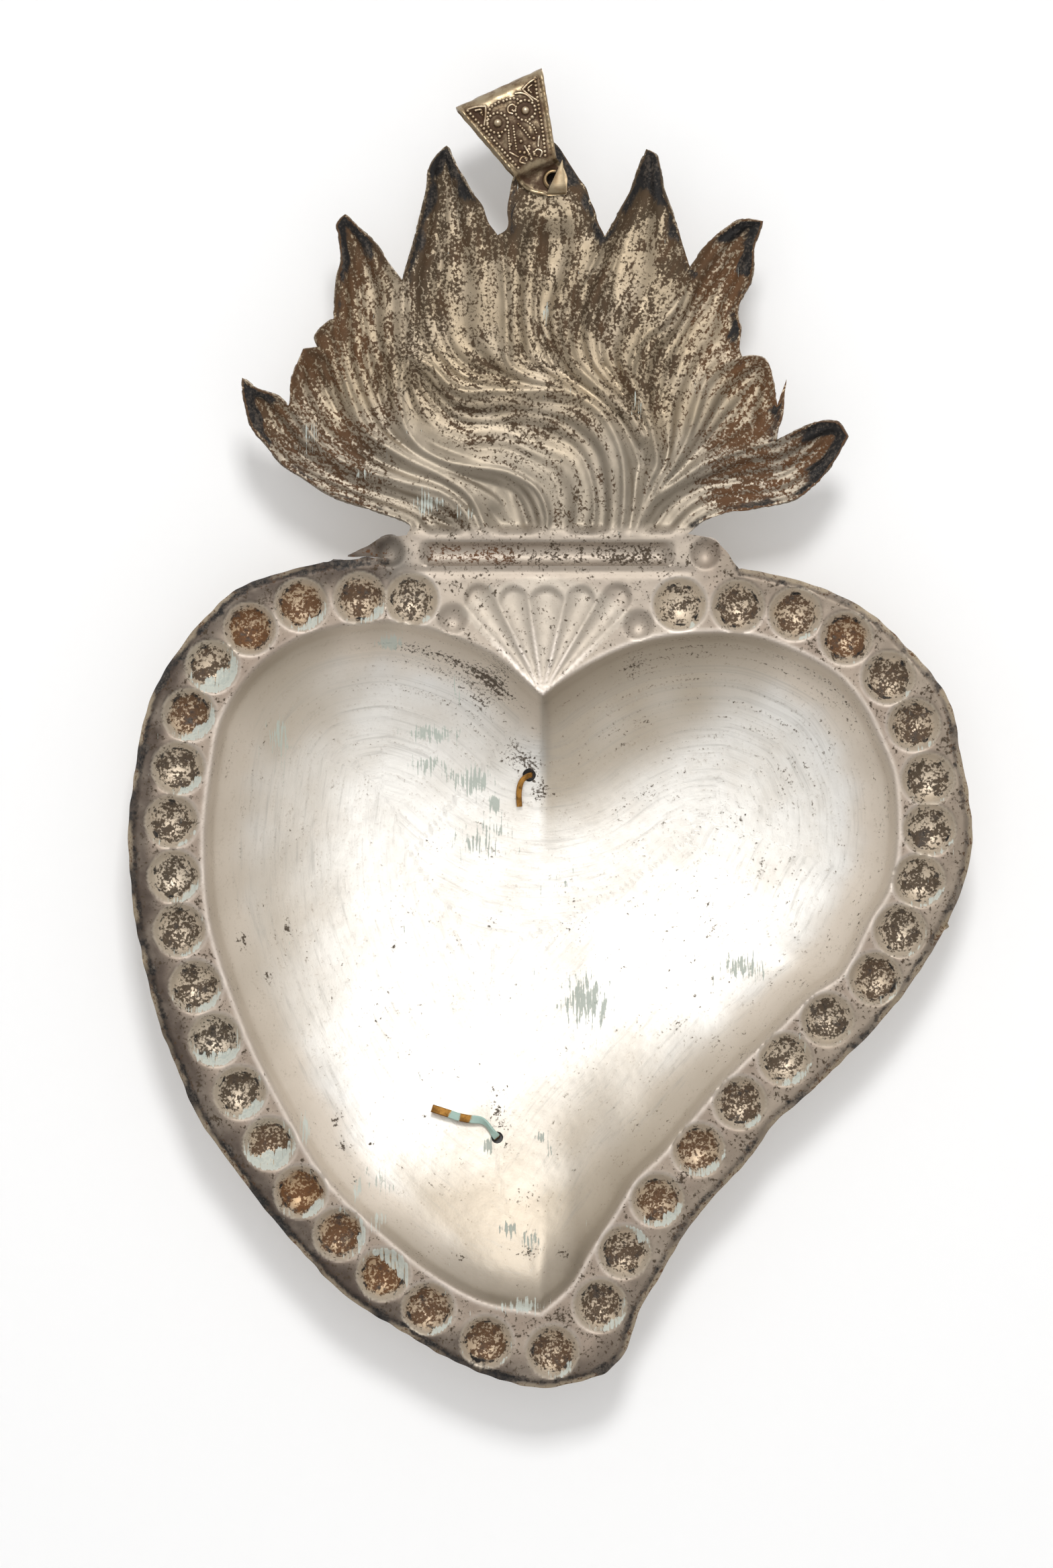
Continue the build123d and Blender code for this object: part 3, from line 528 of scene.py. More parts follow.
# Patches of painted shade in the dish, where its walls face away from the light, told in the same way
PAINTED_SHADE_PATCHES = ((-39, -17, 10, 12, 0.9), (-41, -50, 9, 22, 0.7), (-7, -24, 8, 9, 0.3))
# Clusters of dark specks in the dish: place, spread and strength
STAINS = (
    (-0.9, -33.0, 1.7, 0.36), (-2.6, -29.0, 1.6, 0.25), (-5.0, -27.5, 2.4, 0.18),
    (-12.0, -14.5, 6.0, 0.18), (-7.0, -15.5, 3.0, 0.2), (-20.0, -12.0, 5.0, 0.16),
    (-9.0, -20.0, 5.0, 0.13), (9.0, -20.5, 4.0, 0.08), (40.0, -15.0, 6.0, 0.06),
    (13.0, -14.0, 2.5, 0.18), (-7.9, -77.5, 1.2, 0.3), (-7.4, -80.5, 1.2, 0.32),
    (-7.0, -83.0, 1.3, 0.34), (-6.2, -86.0, 1.0, 0.3), (-45.6, -54.8, 1.5, 0.3),
    (-42.2, -60.4, 1.0, 0.3), (-38.9, -53.2, 0.9, 0.3), (-31.2, -58.1, 0.6, 0.34),
    (-23.3, -56.3, 0.7, 0.3), (-31.6, -81.9, 0.9, 0.34), (-30.4, -85.8, 1.2, 0.34),
    (-26.5, -85.2, 0.7, 0.3), (-28.8, -90.7, 0.8, 0.3), (-2.8, -101.6, 0.9, 0.32),
    (-12.8, -102.3, 0.8, 0.3), (2.6, -102.0, 1.0, 0.3), (4.2, -53.0, 3.5, 0.1),
    (-3.2, -93.5, 2.0, 0.1),
)


def shade(red, green, blue):
    """A colour as seen on a screen, 0 to 255, as the renderer's linear light."""
    parts = [part / 255 for part in (red, green, blue)]
    return np.array([p / 12.92 if p < 0.04045 else ((p + 0.055) / 1.055) ** 2.4 for p in parts])


def blended(one, other, share):
    """Colours or places carried from one to another by a share at each point."""
    share = np.clip(share, 0, 1)[:, None]
    return one * (1 - share) + other * share


def line_met(lines, sample):
    """Number of the line that each sample belongs to."""
    return np.repeat(np.arange(len(lines)), [len(line) for line in lines])[sample]


# Zones of the sheet: how much each point belongs to them, from 0 to 1
in_dish = ease(dish_gap, -0.3, 0.6)
border = (1 - in_dish) * (1 - flame)
bare_flame = flame * (1 - in_dish)
pit = ease(boss_gap + 0.25 * ripple(places, 2.6, 25), BOSS_RADIUS - 0.4, BOSS_RADIUS - 1.2)
pit *= 1 - in_dish
wall_ring = ease(boss_gap, BOSS_RADIUS + 0.2, BOSS_RADIUS - 0.1) * (1 - pit) * (1 - in_dish)
socket_edge = bell(boss_gap, BOSS_RADIUS - 0.85, 0.14) * (1 - in_dish)
lip = bell(boss_gap, BOSS_RADIUS + 0.25, 0.25) * (1 - in_dish)
dish_lip = bell(dish_gap, -0.3, 0.32) * (1 - 0.85 * ease(z, -21, -17) * ease(x, -2.0, -4.0))
in_fan = (fan_angle > PALMETTE_RIBS[0] - 4) & (fan_angle < PALMETTE_RIBS[-1] + 4) & (fan[:, 1] > 0)
rib = bell(flute, 0, 0.16) * in_fan * ease(fan_reach, 13, 6)
above_cleft = 0.6 * ease(np.abs(x), 26, 20) * ease(z, -19, -16)
fanned = np.maximum(in_fan * ease(fan_reach, 19, 17), above_cleft)
rubbed_rim = border * ease(edge_gap + 0.2 * ripple(places, 2.2, 28), 0.75, 0.4) * ease(z, 3.0, 0.0)
rubbed_rim *= ease(ripple(places, 9, 29), -0.5, 0.2)
climb = ease(z + 3 * ripple(places, 11, 21), 14, 30)
outward = ease(edge_gap + 0.6 * ripple(places, 6, 22), 5.6, 2.0)
rightward = ease(x, -10, 30)
boss_gold = np.array(BOSS_GOLD)[boss_number] / STRONGEST
boss_chalk = np.array(BOSS_CHALK)[boss_number] / STRONGEST
edge_soot = np.array(EDGE_SOOT)[line_met(flame_lines, flame_sample)] / STRONGEST
tips = np.array([FLAME_EDGES[number][-1] for number in TIP_EDGES]) / 10
tip_gap = np.min(np.hypot(x[:, None] - tips[:, 0], z[:, None] - tips[:, 1]), 1)
# Film in the dish, and painted shade where its walls face away from the light: in patches, also in its
# upper right, low on the right and at the tip, but not on the wall low on the left, which faces the light
filmed = ease(dish_gap + 1.5 * ripple(places, 12, 23), 13, 3)
walled = ease(dish_gap + ripple(places, 7, 27), 9, 4)
dish_painted_shade = 0.12 * ripple(places, 8, 24)
for cx, cz, wide, tall, strength in PAINTED_SHADE_PATCHES:
    dish_painted_shade += strength * bell(x, cx, wide) * bell(z, cz, tall)
dish_painted_shade += 0.95 * ease(z - 0.72 * x, -46, -33) * ease(x, -1.6, 0.6) * ease(x, 46, 24)
dish_painted_shade += 0.75 * ease(z - 0.5 * x, -70, -84) * ease(x, 32, 8)
dish_painted_shade += 0.6 * ease(z, -88, -101) + 0.35 * ease(dish_gap, 9, 3) * ease(z, -55, -70) * ease(x, 0, 8)
dish_painted_shade -= 0.9 * ease(dish_gap, 9, 4) * ease(z, -74, -84) * ease(x, -4, -14)
dish_painted_shade = np.clip(dish_painted_shade, 0, 1)
# Tint of the metal, before any tarnish, with painted shade and painted highlights in it
silver, cool, film = shade(226, 223, 217), shade(216, 214, 210), shade(212, 201, 187)
painted_shade_grey, rose, fan_grey = shade(174, 163, 147), shade(142, 128, 115), shade(178, 168, 155)
umber_left, umber_right, pale = shade(74, 64, 57), shade(130, 118, 105), shade(222, 212, 202)
socket_tan, amber = shade(206, 194, 176), shade(164, 128, 80)
taupe, sand = shade(148, 138, 123), shade(164, 149, 126)
dish_tint = blended(blended(silver, blended(cool, film, walled), filmed), painted_shade_grey, dish_painted_shade)
# Painted shade at the tip of the dish and in the crease below the cleft
crease_painted_shade = bell(x, -0.4, 0.7) * ease(z, -33, -27)
dish_tint *= (1 - 0.3 * ease(z, -94, -106) - 0.3 * crease_painted_shade)[:, None]
outer = blended(umber_left, umber_right, rightward)
tint = in_dish[:, None] * dish_tint + border[:, None] * blended(rose, outer, outward)
tint += (border * fanned)[:, None] * (fan_grey - rose)
tint += bare_flame[:, None] * blended(taupe, sand, climb)
tint = blended(tint, blended(socket_tan, amber, 0.8 * boss_gold * pit), pit + 0.8 * wall_ring)
# Painted highlights, pale, along the lips of the sockets and of the dish and on the ribs of the palmette
painted_highlights = 0.3 * lip * ease(edge_gap, 4, 7) + 0.5 * dish_lip * (1 - flame) + 0.9 * rib * border
tint = blended(tint, pale, painted_highlights)
tint = blended(tint, sand, rubbed_rim)
# Painted shade on the bands just above and below the collar, where their lips catch the light
collar_painted_shade = 0.2 * bell(z, 5.3, 1.0) + 0.14 * bell(z, -0.6, 1.0)
tint *= (1 - collar_painted_shade * (np.abs(x) < 24))[:, None]
# Flames darker in the hollows of their folds, part patina and part painted shade, and painted shade along
# the creases, which catch the light
tint *= (1 - 0.22 * bare_flame * (0.5 + 0.5 * fold_wave) * folded)[:, None]
tint *= (1 - 0.14 * bare_flame * bell(crease_gap, 0, 0.9))[:, None]
# Brown tarnish: streaked along the flames, thin on the border, cloudy in the sockets
streak = 0.5 * np.cos(tongue_across * 19 + 2.5 * ripple(places, 7, 5)) + 0.5 * ripple(places, 3.5, 6)
flame_tarnish = 0.06 + 0.12 * climb + 0.08 * streak + 0.08 * ripple(places, 14, 8)
flame_tarnish += 0.1 * edge_soot * ease(flame_gap, 4.5, 1.2) * climb
flame_tarnish -= 0.06 * bell(crease_gap, 0, 1.2)
flame_tarnish += 0.06 * ease(tip_gap, 22, 8) - 0.03 * ease(x, 14, 26)
flame_tarnish += 0.17 * ease(x, 18, 27) * ease(z, 25, 20) + 0.1 * ease(x, -20, -28) * ease(z, 26, 20)
collar_tarnish = collar * (0.1 + 0.06 * ease(np.abs(x + 1), 3, 10))
tarnish = bare_flame * flame_tarnish
tarnish += border * (0.07 + 0.05 * ripple(places, 5, 8) + collar_tarnish - 0.08 * fanned)
tarnish += pit * (0.15 + 0.05 * boss_gold + 0.1 * ripple(places, 2.5, 9))
tarnish -= 0.04 * wall_ring + 0.15 * dish_lip + 0.1 * lip
tarnish += in_dish * (0.04 * ease(x, 5, 25) + 0.03 * ripple(places, 16, 10) - 0.1)
for cx, cz, spread, strength in STAINS:
    tarnish += strength * in_dish * bell(x, cx, spread) * bell(z, cz, spread)
# Black: along the edges and tips of the flames, along the rim, and low in the sockets
wander = ripple(places, 5, 13)
edge_black = edge_soot * (0.58 + 0.16 * ripple(places, 7, 14)) * ease(flame_gap + 0.6 * wander, 3.0, 0.2)
tip_black = 0.5 * ease(tip_gap + 1.6 * wander, 11, 3) * (0.4 + 0.6 * ease(tongue_across, 0.1, 0.6))
rim_black = (0.5 - 0.08 * rightward) * ease(edge_gap + 0.3 * wander, 2.4, 0.8) * ease(z, 4.0, 1.0)
soot = bare_flame * (edge_black + tip_black) + border * rim_black
soot += 0.33 * pit + 0.42 * socket_edge * ease(ripple(places, 2.0, 30), -0.4, 0.4)
soot *= ease(flame_gap + 10 * (1 - flame), 0.0, 0.25) * (1 - 0.8 * rubbed_rim)
# Golden tarnish in sockets, flames, rim and collar
gold = boss_gold * pit + bare_flame * (0.28 + 0.3 * ease(x, 16, 28) + 0.2 * ease(x, -20, -30))
gold += 0.6 * border * ease(edge_gap, 2.0, 0.8) + 0.7 * collar * ease(x, 0, -8)
# Dried polish: a crescent on one side of each socket, and dabs elsewhere
boss_arm = places - boss_places[boss_number]
chalk_ways = [CHALK_TURNED.get(number, CHALK_WAY) for number in range(len(BOSSES))]
chalk_way = np.radians(chalk_ways)[boss_number]
chalk_side = boss_arm[:, 0] * np.cos(chalk_way) + boss_arm[:, 1] * np.sin(chalk_way)
crescent = chalk_side + 0.5 * ripple(places, 1.8, 26) + 3.2 * boss_chalk
chalk = 1.1 * wall_ring * boss_chalk * (0.5 + 0.5 * chalk_side / np.maximum(boss_gap, 0.5))
chalk = np.maximum(chalk, 0.9 * np.clip(pit + wall_ring, 0, 1) * ease(crescent, 3.9, 4.6))
for cx, cz, wide, tall, strength in CHALK_DABS:
    chalk = np.maximum(chalk, strength * bell(x, cx, wide) * bell(z, cz, tall))
# Layers of the back, and the share of each that the front has too
layers = (
    ("tarnish", tarnish, 0.45),
    ("soot", soot, 0.8),
    ("gold", gold, 0.5),
    ("chalk", chalk, 0.0),
    ("polish", in_dish * ease(dish_gap, 0.5, 5), 1.0),
    ("matt", in_dish * np.maximum(filmed, dish_painted_shade) + 0.7 * border, 0.3),
)
for name, values, front_share in layers:
    paint(heart, name, np.concatenate([values, values * front_share]))
paint(heart, "tint", np.tile(np.column_stack([tint, np.ones(len(x))]), (2, 1)))
# Way of the marks: across and along the flow of each flame, or the wall of the dish. The third
# number keeps the marks of one part from running on into the next.
trough_along = np.concatenate([np.arange(len(line)) * LINE_STEP for line in troughs])[trough_sample]
trough_way = np.vstack([np.gradient(line, axis=0) for line in troughs])[trough_sample]
trough_arm = places - np.vstack(troughs)[trough_sample]
hand = np.sign(trough_way[:, 0] * trough_arm[:, 1] - trough_way[:, 1] * trough_arm[:, 0])
trough_number = line_met(troughs, trough_sample)
flame_way = np.column_stack([hand * trough_gap, 0.3 * trough_along, 40.0 * trough_number])
dish_way = np.column_stack([dish_gap, 0.02 * dish_sample + 0.25 * x, np.full(len(x), -60.0)])
plain_way = np.column_stack([x, z, np.full(len(x), -20.0)])
way = np.where((dish_gap > 0)[:, None], dish_way, plain_way)
way = np.where(flame[:, None] > 0.5, flame_way, way)
paint(heart, "way", np.vstack([way, way + 7.0]))


def connect(tree, node, inputs):
    """Fill the sockets of a node from values or from other nodes."""
    for socket, value in inputs.items():
        if isinstance(value, bpy.types.NodeSocket):
            tree.links.new(value, node.inputs[socket])
        else:
            node.inputs[socket].default_value = value


def add_node(tree, kind, inputs=None, **settings):
    """A node of a material, with its settings made and its sockets filled."""
    made = tree.nodes.new(kind)
    for name, value in settings.items():
        setattr(made, name, value)
    connect(tree, made, inputs or {})
    return made


def layer_of(tree, name, kind="Fac"):
    """One of the layers painted on a piece, as a strength, a colour or a vector."""
    return add_node(tree, "ShaderNodeAttribute", attribute_name=name).outputs[kind]


def noise(tree, place, scale, detail, roughness=0.5):
    """Random cloudiness, from 0 to 1."""
    return add_node(tree, "ShaderNodeTexNoise", {
        "Vector": place, "Scale": scale, "Detail": detail, "Roughness": roughness,
    }).outputs["Fac"]


def grain(tree, size, detail=4.0, way=None):
    """Random mottling with marks of about a size in millimetres, along a painted way or plain."""
    crispness = 0.6
    if way:
        return noise(tree, layer_of(tree, way, "Vector"), 1 / size, detail, crispness)
    place = add_node(tree, "ShaderNodeTexCoord").outputs["Object"]
    return noise(tree, place, 1 / (size * MM), detail, crispness)


def stretched(tree, place, scale, turn=(0, 0, 0)):
    """Places stretched along their axes, then turned."""
    return add_node(tree, "ShaderNodeMapping", {
        "Vector": place, "Rotation": turn, "Scale": scale,
    }).outputs["Vector"]


def total(tree, *terms):
    """Weighted sum of values: pairs of a value and its weight."""
    result = 0.0
    for value, weight in terms:
        step = add_node(tree, "ShaderNodeMath", {0: value, 1: weight, 2: result}, operation="MULTIPLY_ADD")
        result = step.outputs[0]
    return result


def between(tree, value, low, high, to_low=0.0, to_high=1.0):
    """Value carried smoothly from one range to another."""
    return add_node(tree, "ShaderNodeMapRange", {
        "Value": value, "From Min": low, "From Max": high, "To Min": to_low, "To Max": to_high,
    }, interpolation_type="SMOOTHSTEP").outputs["Result"]


UNDER, OVER, MIXED = 6, 7, 2    # numbers of the colour sockets of a mix


def laid_over(tree, share, under, over):
    """One colour laid over another by a share."""
    under, over = (
        colour if isinstance(colour, bpy.types.NodeSocket) else (*colour, 1) for colour in (under, over)
    )
    inputs = {"Factor": share, UNDER: under, OVER: over}
    return add_node(tree, "ShaderNodeMix", inputs, data_type="RGBA").outputs[MIXED]


def bumps(tree, height, strength, rise):
    """Small bumps of a surface, which rise by about some millimetres."""
    return add_node(tree, "ShaderNodeBump", {
        "Height": height, "Strength": strength, "Distance": rise * MM,
    }).outputs["Normal"]


def new_finish(name):
    """An empty material, its node tree and its surface shader."""
    made = bpy.data.materials.new(name)
    made.use_nodes = True
    return made, made.node_tree, made.node_tree.nodes["Principled BSDF"]


heart_finish, tree, surface = new_finish("tarnished_silver_sheet")
fine, middling = grain(tree, 0.7, 3, "way"), grain(tree, 1.9, 4, "way")
broad, plain_fine = grain(tree, 9), grain(tree, 0.42, 3)
polish = layer_of(tree, "polish")
# Scratches of one rubbing across the sheet, and the brushing of the dish along its wall
sheet_place = add_node(tree, "ShaderNodeTexCoord").outputs["Object"]
scratch = noise(tree, stretched(tree, sheet_place, (3200, 1, 260), (0, 0.35, 0)), 1.0, 2.0)
along_wall = stretched(tree, layer_of(tree, "way", "Vector"), (1.3, 0.35, 1.0))
brushing = total(tree, (noise(tree, along_wall, 1.0, 6.0, 0.7), 1.0), (polish, 0.5))
brushed = between(tree, brushing, 0.98, 1.25, 0, 0.45)
# Clouds and dust on the metal, then brown specks, black scale and white dried polish
clouds = between(tree, broad, 0.4, 0.75, 0, 0.3)
dust = between(tree, total(tree, (plain_fine, 0.6), (fine, 0.4)), 0.52, 0.68, 0, 0.3)
mottle = total(tree, (fine, 0.3), (plain_fine, 0.5), (middling, 0.2), (layer_of(tree, "tarnish"), 0.5))
speck = between(tree, mottle, 0.552, 0.635, 0.0, 0.92)
golden = between(tree, total(tree, (layer_of(tree, "gold"), 0.8), (middling, 0.5)), 0.35, 0.95)
brown = laid_over(tree, golden, shade(60, 47, 32), shade(94, 56, 22))
black = between(tree, total(tree, (layer_of(tree, "soot"), 1.0), (middling, 0.7), (fine, 0.5)), 0.93, 1.16)
ashen = between(tree, total(tree, (plain_fine, 0.5), (middling, 0.5)), 0.48, 0.66)
scale = laid_over(tree, ashen, shade(30, 28, 27), shade(84, 76, 68))
dab = total(
    tree, (layer_of(tree, "chalk"), 0.7), (middling, 0.4), (fine, 0.3), (plain_fine, 0.3), (scratch, -1.5)
)
white = between(tree, dab, 0.1, 0.24, 0.0, 0.8)
dried = laid_over(tree, polish, shade(200, 207, 199), shade(168, 177, 167))
colour = layer_of(tree, "tint", "Color")
for share, coat in (
    (clouds, shade(186, 174, 158)),
    (dust, shade(150, 136, 118)),
    (brushed, shade(150, 147, 140)),
    (speck, brown),
    (black, scale),
    (white, dried),
):
    colour = laid_over(tree, share, colour, coat)
dulled = total(tree, (speck, -0.55), (black, -0.3), (white, -0.9), (layer_of(tree, "matt"), -0.45))
metal = add_node(tree, "ShaderNodeMath", {0: dulled, 1: 1.0}, operation="ADD", use_clamp=True)
rougher = total(tree, (polish, -0.08), (speck, 0.2), (white, 0.3), (broad, 0.15))
rough = add_node(tree, "ShaderNodeMath", {0: rougher, 1: 0.45}, operation="ADD", use_clamp=True)
height = total(tree, (fine, 0.5), (plain_fine, 0.3), (middling, 0.5), (white, 0.25))
connect(tree, surface, {
    "Base Color": colour,
    "Metallic": metal.outputs[0],
    "Specular IOR Level": 0.3,
    "Roughness": rough.outputs[0],
    "Normal": bumps(tree, height, 0.3, 0.12),
})
heart.data.materials.append(heart_finish)
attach(heart, "heart")
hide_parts("heart_plate")

# Plaque on the front: a bare oval of gilt brass sheet, hammered to the curve of the dish, with a
# rolled edge and a back painted near black as shade. The two brass strips are soldered to its back and
# hold it through the silver.
PLAQUE_SHEET = 0.8
PLAQUE_CLEARANCE = 0.15
PLAQUE_HALF_WIDTH = 18.0
PLAQUE_MARGIN = 5.0         # past each hole
PLAQUE_ROLL = 0.45          # height of the rolled edge
PLAQUE_GROOVE = 0.18        # depth of the line chased inside it
PLAQUE_HAMMERING = 0.05
PLAQUE_RINGS = 30
PLAQUE_SPOKES = 120
SLOPE_STEP = 0.2            # over which the slope of the dish is taken

upper_hole, lower_hole = (np.array(hole[:2]) for hole in TAB_HOLES)
plaque_length = np.linalg.norm(upper_hole - lower_hole)
long_way = (upper_hole - lower_hole) / plaque_length
cross_way = np.array((-long_way[1], long_way[0]))
size, turn = np.meshgrid(
    np.linspace(0, 1, PLAQUE_RINGS + 1)[1:],
    np.linspace(0, 2 * math.pi, PLAQUE_SPOKES, endpoint=False),
    indexing="ij",
)
size, turn = np.append(size.ravel(), 0.0), np.append(turn.ravel(), 0.0)
plaque_spots = (upper_hole + lower_hole) / 2 + (
    (size * np.cos(turn) * (plaque_length / 2 + PLAQUE_MARGIN))[:, None] * long_way
    + (size * np.sin(turn) * PLAQUE_HALF_WIDTH)[:, None] * cross_way
)
slope = [
    (dish_floor(plaque_spots + step) - dish_floor(plaque_spots - step)) / (2 * SLOPE_STEP)
    for step in np.eye(2) * SLOPE_STEP
]
lengthened = np.sqrt(1 + slope[0] ** 2 + slope[1] ** 2)
plaque_back = dish_floor(plaque_spots) + (SHEET + PLAQUE_CLEARANCE) * lengthened
roll = PLAQUE_ROLL * bell(size, 0.955, 0.03) - PLAQUE_GROOVE * bell(size, 0.9, 0.012)
hammered = PLAQUE_HAMMERING * ripple(plaque_spots, 5, 31)
plaque_front = plaque_back + PLAQUE_SHEET * lengthened + roll + hammered
corner = np.arange(PLAQUE_RINGS * PLAQUE_SPOKES).reshape(PLAQUE_RINGS, PLAQUE_SPOKES)
following = np.roll(corner, -1, 1)
plaque_triangles = np.vstack([
    np.column_stack([np.full(PLAQUE_SPOKES, corner.size), corner[0], following[0]]),
    np.column_stack([corner[:-1].ravel(), corner[1:].ravel(), following[:-1].ravel()]),
    np.column_stack([corner[1:].ravel(), following[1:].ravel(), following[:-1].ravel()]),
])
plaque_sides = [on_sheet(plaque_spots, level) for level in (plaque_back, plaque_front)]
plaque_triangles = facing_back(plaque_sides[0], plaque_triangles)
plaque = new_piece("gilt_plaque", *skin(*plaque_sides, plaque_triangles), crisp=60)
# Painted shade: the back is near black and matt, so that what shows through the holes is dark
paint(plaque, "back_shade", np.repeat((1.0, 0.0), len(plaque_spots)))
plaque_finish, tree, surface = new_finish("worn_gilt_brass")
cloud, specks, scuffs = grain(tree, 7.0, 5), grain(tree, 0.5, 3), grain(tree, 1.8, 5)
gilt = laid_over(tree, between(tree, cloud, 0.38, 0.68), shade(206, 168, 96), shade(176, 134, 70))
worn_spots = between(tree, total(tree, (specks, 0.5), (scuffs, 0.5)), 0.57, 0.68, 0, 0.8)
gilt = laid_over(tree, worn_spots, gilt, shade(104, 76, 42))
back_shade = layer_of(tree, "back_shade")
connect(tree, surface, {
    "Base Color": laid_over(tree, back_shade, gilt, shade(22, 18, 15)),
    "Metallic": between(tree, back_shade, 0, 1, 1.0, 0.0),
    "Roughness": between(tree, total(tree, (cloud, 0.5), (scuffs, 0.5)), 0.35, 0.7, 0.28, 0.52),
    "Normal": bumps(tree, total(tree, (scuffs, 0.6), (specks, 0.4)), 0.25, 0.1),
})
plaque.data.materials.append(plaque_finish)
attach(plaque, "heart")
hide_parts("front_plaque")

# Brass strips: thin cuttings of brass soldered to the plaque, pushed through the dish and bent
# over by hand on the hollow side. The lower one is twisted and has gone green in places.
STRIP_THICKNESS = 0.36
STRIP_CHAMFER = 0.1
STRIP_STEPS = 6             # from one station to the next
# Along each strip: place on the sheet, height above the dish, lie of its width (degrees in the
# sheet, then tilt out of it), width, and verdigris from 0 to 1
UPPER_STRIP = (
    (-2.35, -30.2, -1.25, 90, 0, 0.8, 0), (-2.35, -30.2, -0.3, 90, 0, 0.8, 0),
    (-2.45, -30.2, 0.45, 90, 0, 0.8, 0), (-3.0, -30.4, 0.95, 95, 10, 0.8, 0),
    (-3.75, -31.0, 1.05, 130, 0, 0.8, 0), (-4.15, -32.1, 0.95, 165, 0, 0.85, 0),
    (-4.25, -33.4, 0.85, 180, 0, 0.85, 0.1), (-4.15, -34.95, 0.75, 182, 0, 0.85, 0),
)
LOWER_STRIP = (
    (-7.5, -84.7, -1.25, 45, 0, 1.1, 0.4), (-7.5, -84.7, -0.3, 45, 0, 1.1, 0.5),
    (-7.75, -84.4, 0.5, 45, 20, 1.1, 0.9), (-8.4, -83.5, 0.95, 45, 55, 1.1, 0.8),
    (-9.1, -82.6, 1.05, 50, 55, 1.15, 0.9), (-10.0, -82.05, 1.1, 75, 30, 1.2, 1.0),
    (-11.4, -81.9, 1.1, 95, 5, 1.2, 0.7), (-12.4, -81.75, 1.15, 98, 0, 1.2, 0.1),
    (-13.6, -81.45, 1.25, 103, 0, 1.2, 0.9), (-14.7, -81.05, 1.3, 108, 0, 1.2, 0.6),
    (-15.5, -80.8, 1.4, 108, 0, 1.2, 0.0), (-17.3, -80.2, 1.55, 108, 0, 1.2, 0.0),
)
# Corners of a strip's section: side across, side through, and the chamfer through and across
STRIP_CORNERS = (
    (1, 1, 1, 0), (1, 1, 0, 1), (-1, 1, 0, 1), (-1, 1, 1, 0),
    (-1, -1, 1, 0), (-1, -1, 0, 1), (1, -1, 0, 1), (1, -1, 1, 0),
)


def tube_faces(rings, sides, endless=False):
    """Faces round a tube of rings of points, its ends closed unless it runs back into itself."""
    faces = []
    for ring in range(rings if endless else rings - 1):
        start, following = ring * sides, (ring + 1) % rings * sides
        for i in range(sides):
            j = (i + 1) % sides
            faces.append((start + i, start + j, following + j, following + i))
    if not endless:
        faces += [tuple(range(sides))[::-1], tuple(range((rings - 1) * sides, rings * sides))]
    return faces


def bent_strip(name, stations):
    """A flat strip with chamfered edges that runs through its stations."""
    stations = np.array(stations)
    share = np.arange((len(stations) - 1) * STRIP_STEPS + 1) / STRIP_STEPS
    number = np.clip(share.astype(int), 0, len(stations) - 2)
    part = (share - number)[:, None]
    padded = np.vstack([2 * stations[0] - stations[1], stations, 2 * stations[-1] - stations[-2]])
    a, b, c, d = (padded[number + step] for step in range(4))
    course = b + part / 2 * (c - a + part * (2 * a - 5 * b + 4 * c - d + part * (3 * b - 3 * c + d - a)))
    spot, rise = course[:, :2], course[:, 2]
    lie, tilt = np.radians(course[:, 3:5].T)
    width, green = course[:, 5:].T
    middle = np.column_stack([spot[:, 0], dish_floor(spot) - rise, spot[:, 1]])
    ahead = unit(np.gradient(middle, axis=0))
    across = np.column_stack([np.cos(lie) * np.cos(tilt), -np.sin(tilt), np.sin(lie) * np.cos(tilt)])
    across = unit(across - (across * ahead).sum(1)[:, None] * ahead)
    through = np.cross(ahead, across)
    rings = [
        middle + across * (i * (width / 2 - STRIP_CHAMFER * q))[:, None]
        + through * (j * (STRIP_THICKNESS / 2 - STRIP_CHAMFER * p))
        for i, j, p, q in STRIP_CORNERS
    ]
    points = np.stack(rings, 1).reshape(-1, 3) * MM + np.array(sheet_origin)
    strip = new_piece(name, points, tube_faces(len(middle), len(STRIP_CORNERS)))
    paint(strip, "verdigris", np.repeat(green, len(STRIP_CORNERS)))
    return strip


strip_finish, tree, surface = new_finish("dull_brass_strip")
cloud, specks = grain(tree, 1.6, 4), grain(tree, 0.35, 3)
brass = laid_over(tree, between(tree, cloud, 0.4, 0.65), shade(166, 120, 58), shade(116, 80, 36))
brass = laid_over(tree, between(tree, specks, 0.55, 0.7, 0, 0.7), brass, shade(84, 58, 28))
greening = total(tree, (layer_of(tree, "verdigris"), 0.8), (cloud, 0.5), (specks, 0.2))
green = between(tree, greening, 0.78, 0.95)
connect(tree, surface, {
    "Base Color": laid_over(tree, green, brass, shade(164, 190, 180)),
    "Metallic": between(tree, green, 0, 1, 0.9, 0.0),
    "Roughness": between(tree, green, 0, 1, 0.38, 0.85),
    "Normal": bumps(tree, total(tree, (specks, 0.5), (green, 0.6)), 0.3, 0.1),
})
for name, node, stations in (
    ("upper_brass_strip", "upper_tab", UPPER_STRIP),
    ("lower_brass_strip", "lower_tab", LOWER_STRIP),
):
    strip = bent_strip(name, stations)
    strip.data.materials.append(strip_finish)
    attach(strip, "heart")
    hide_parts(node)

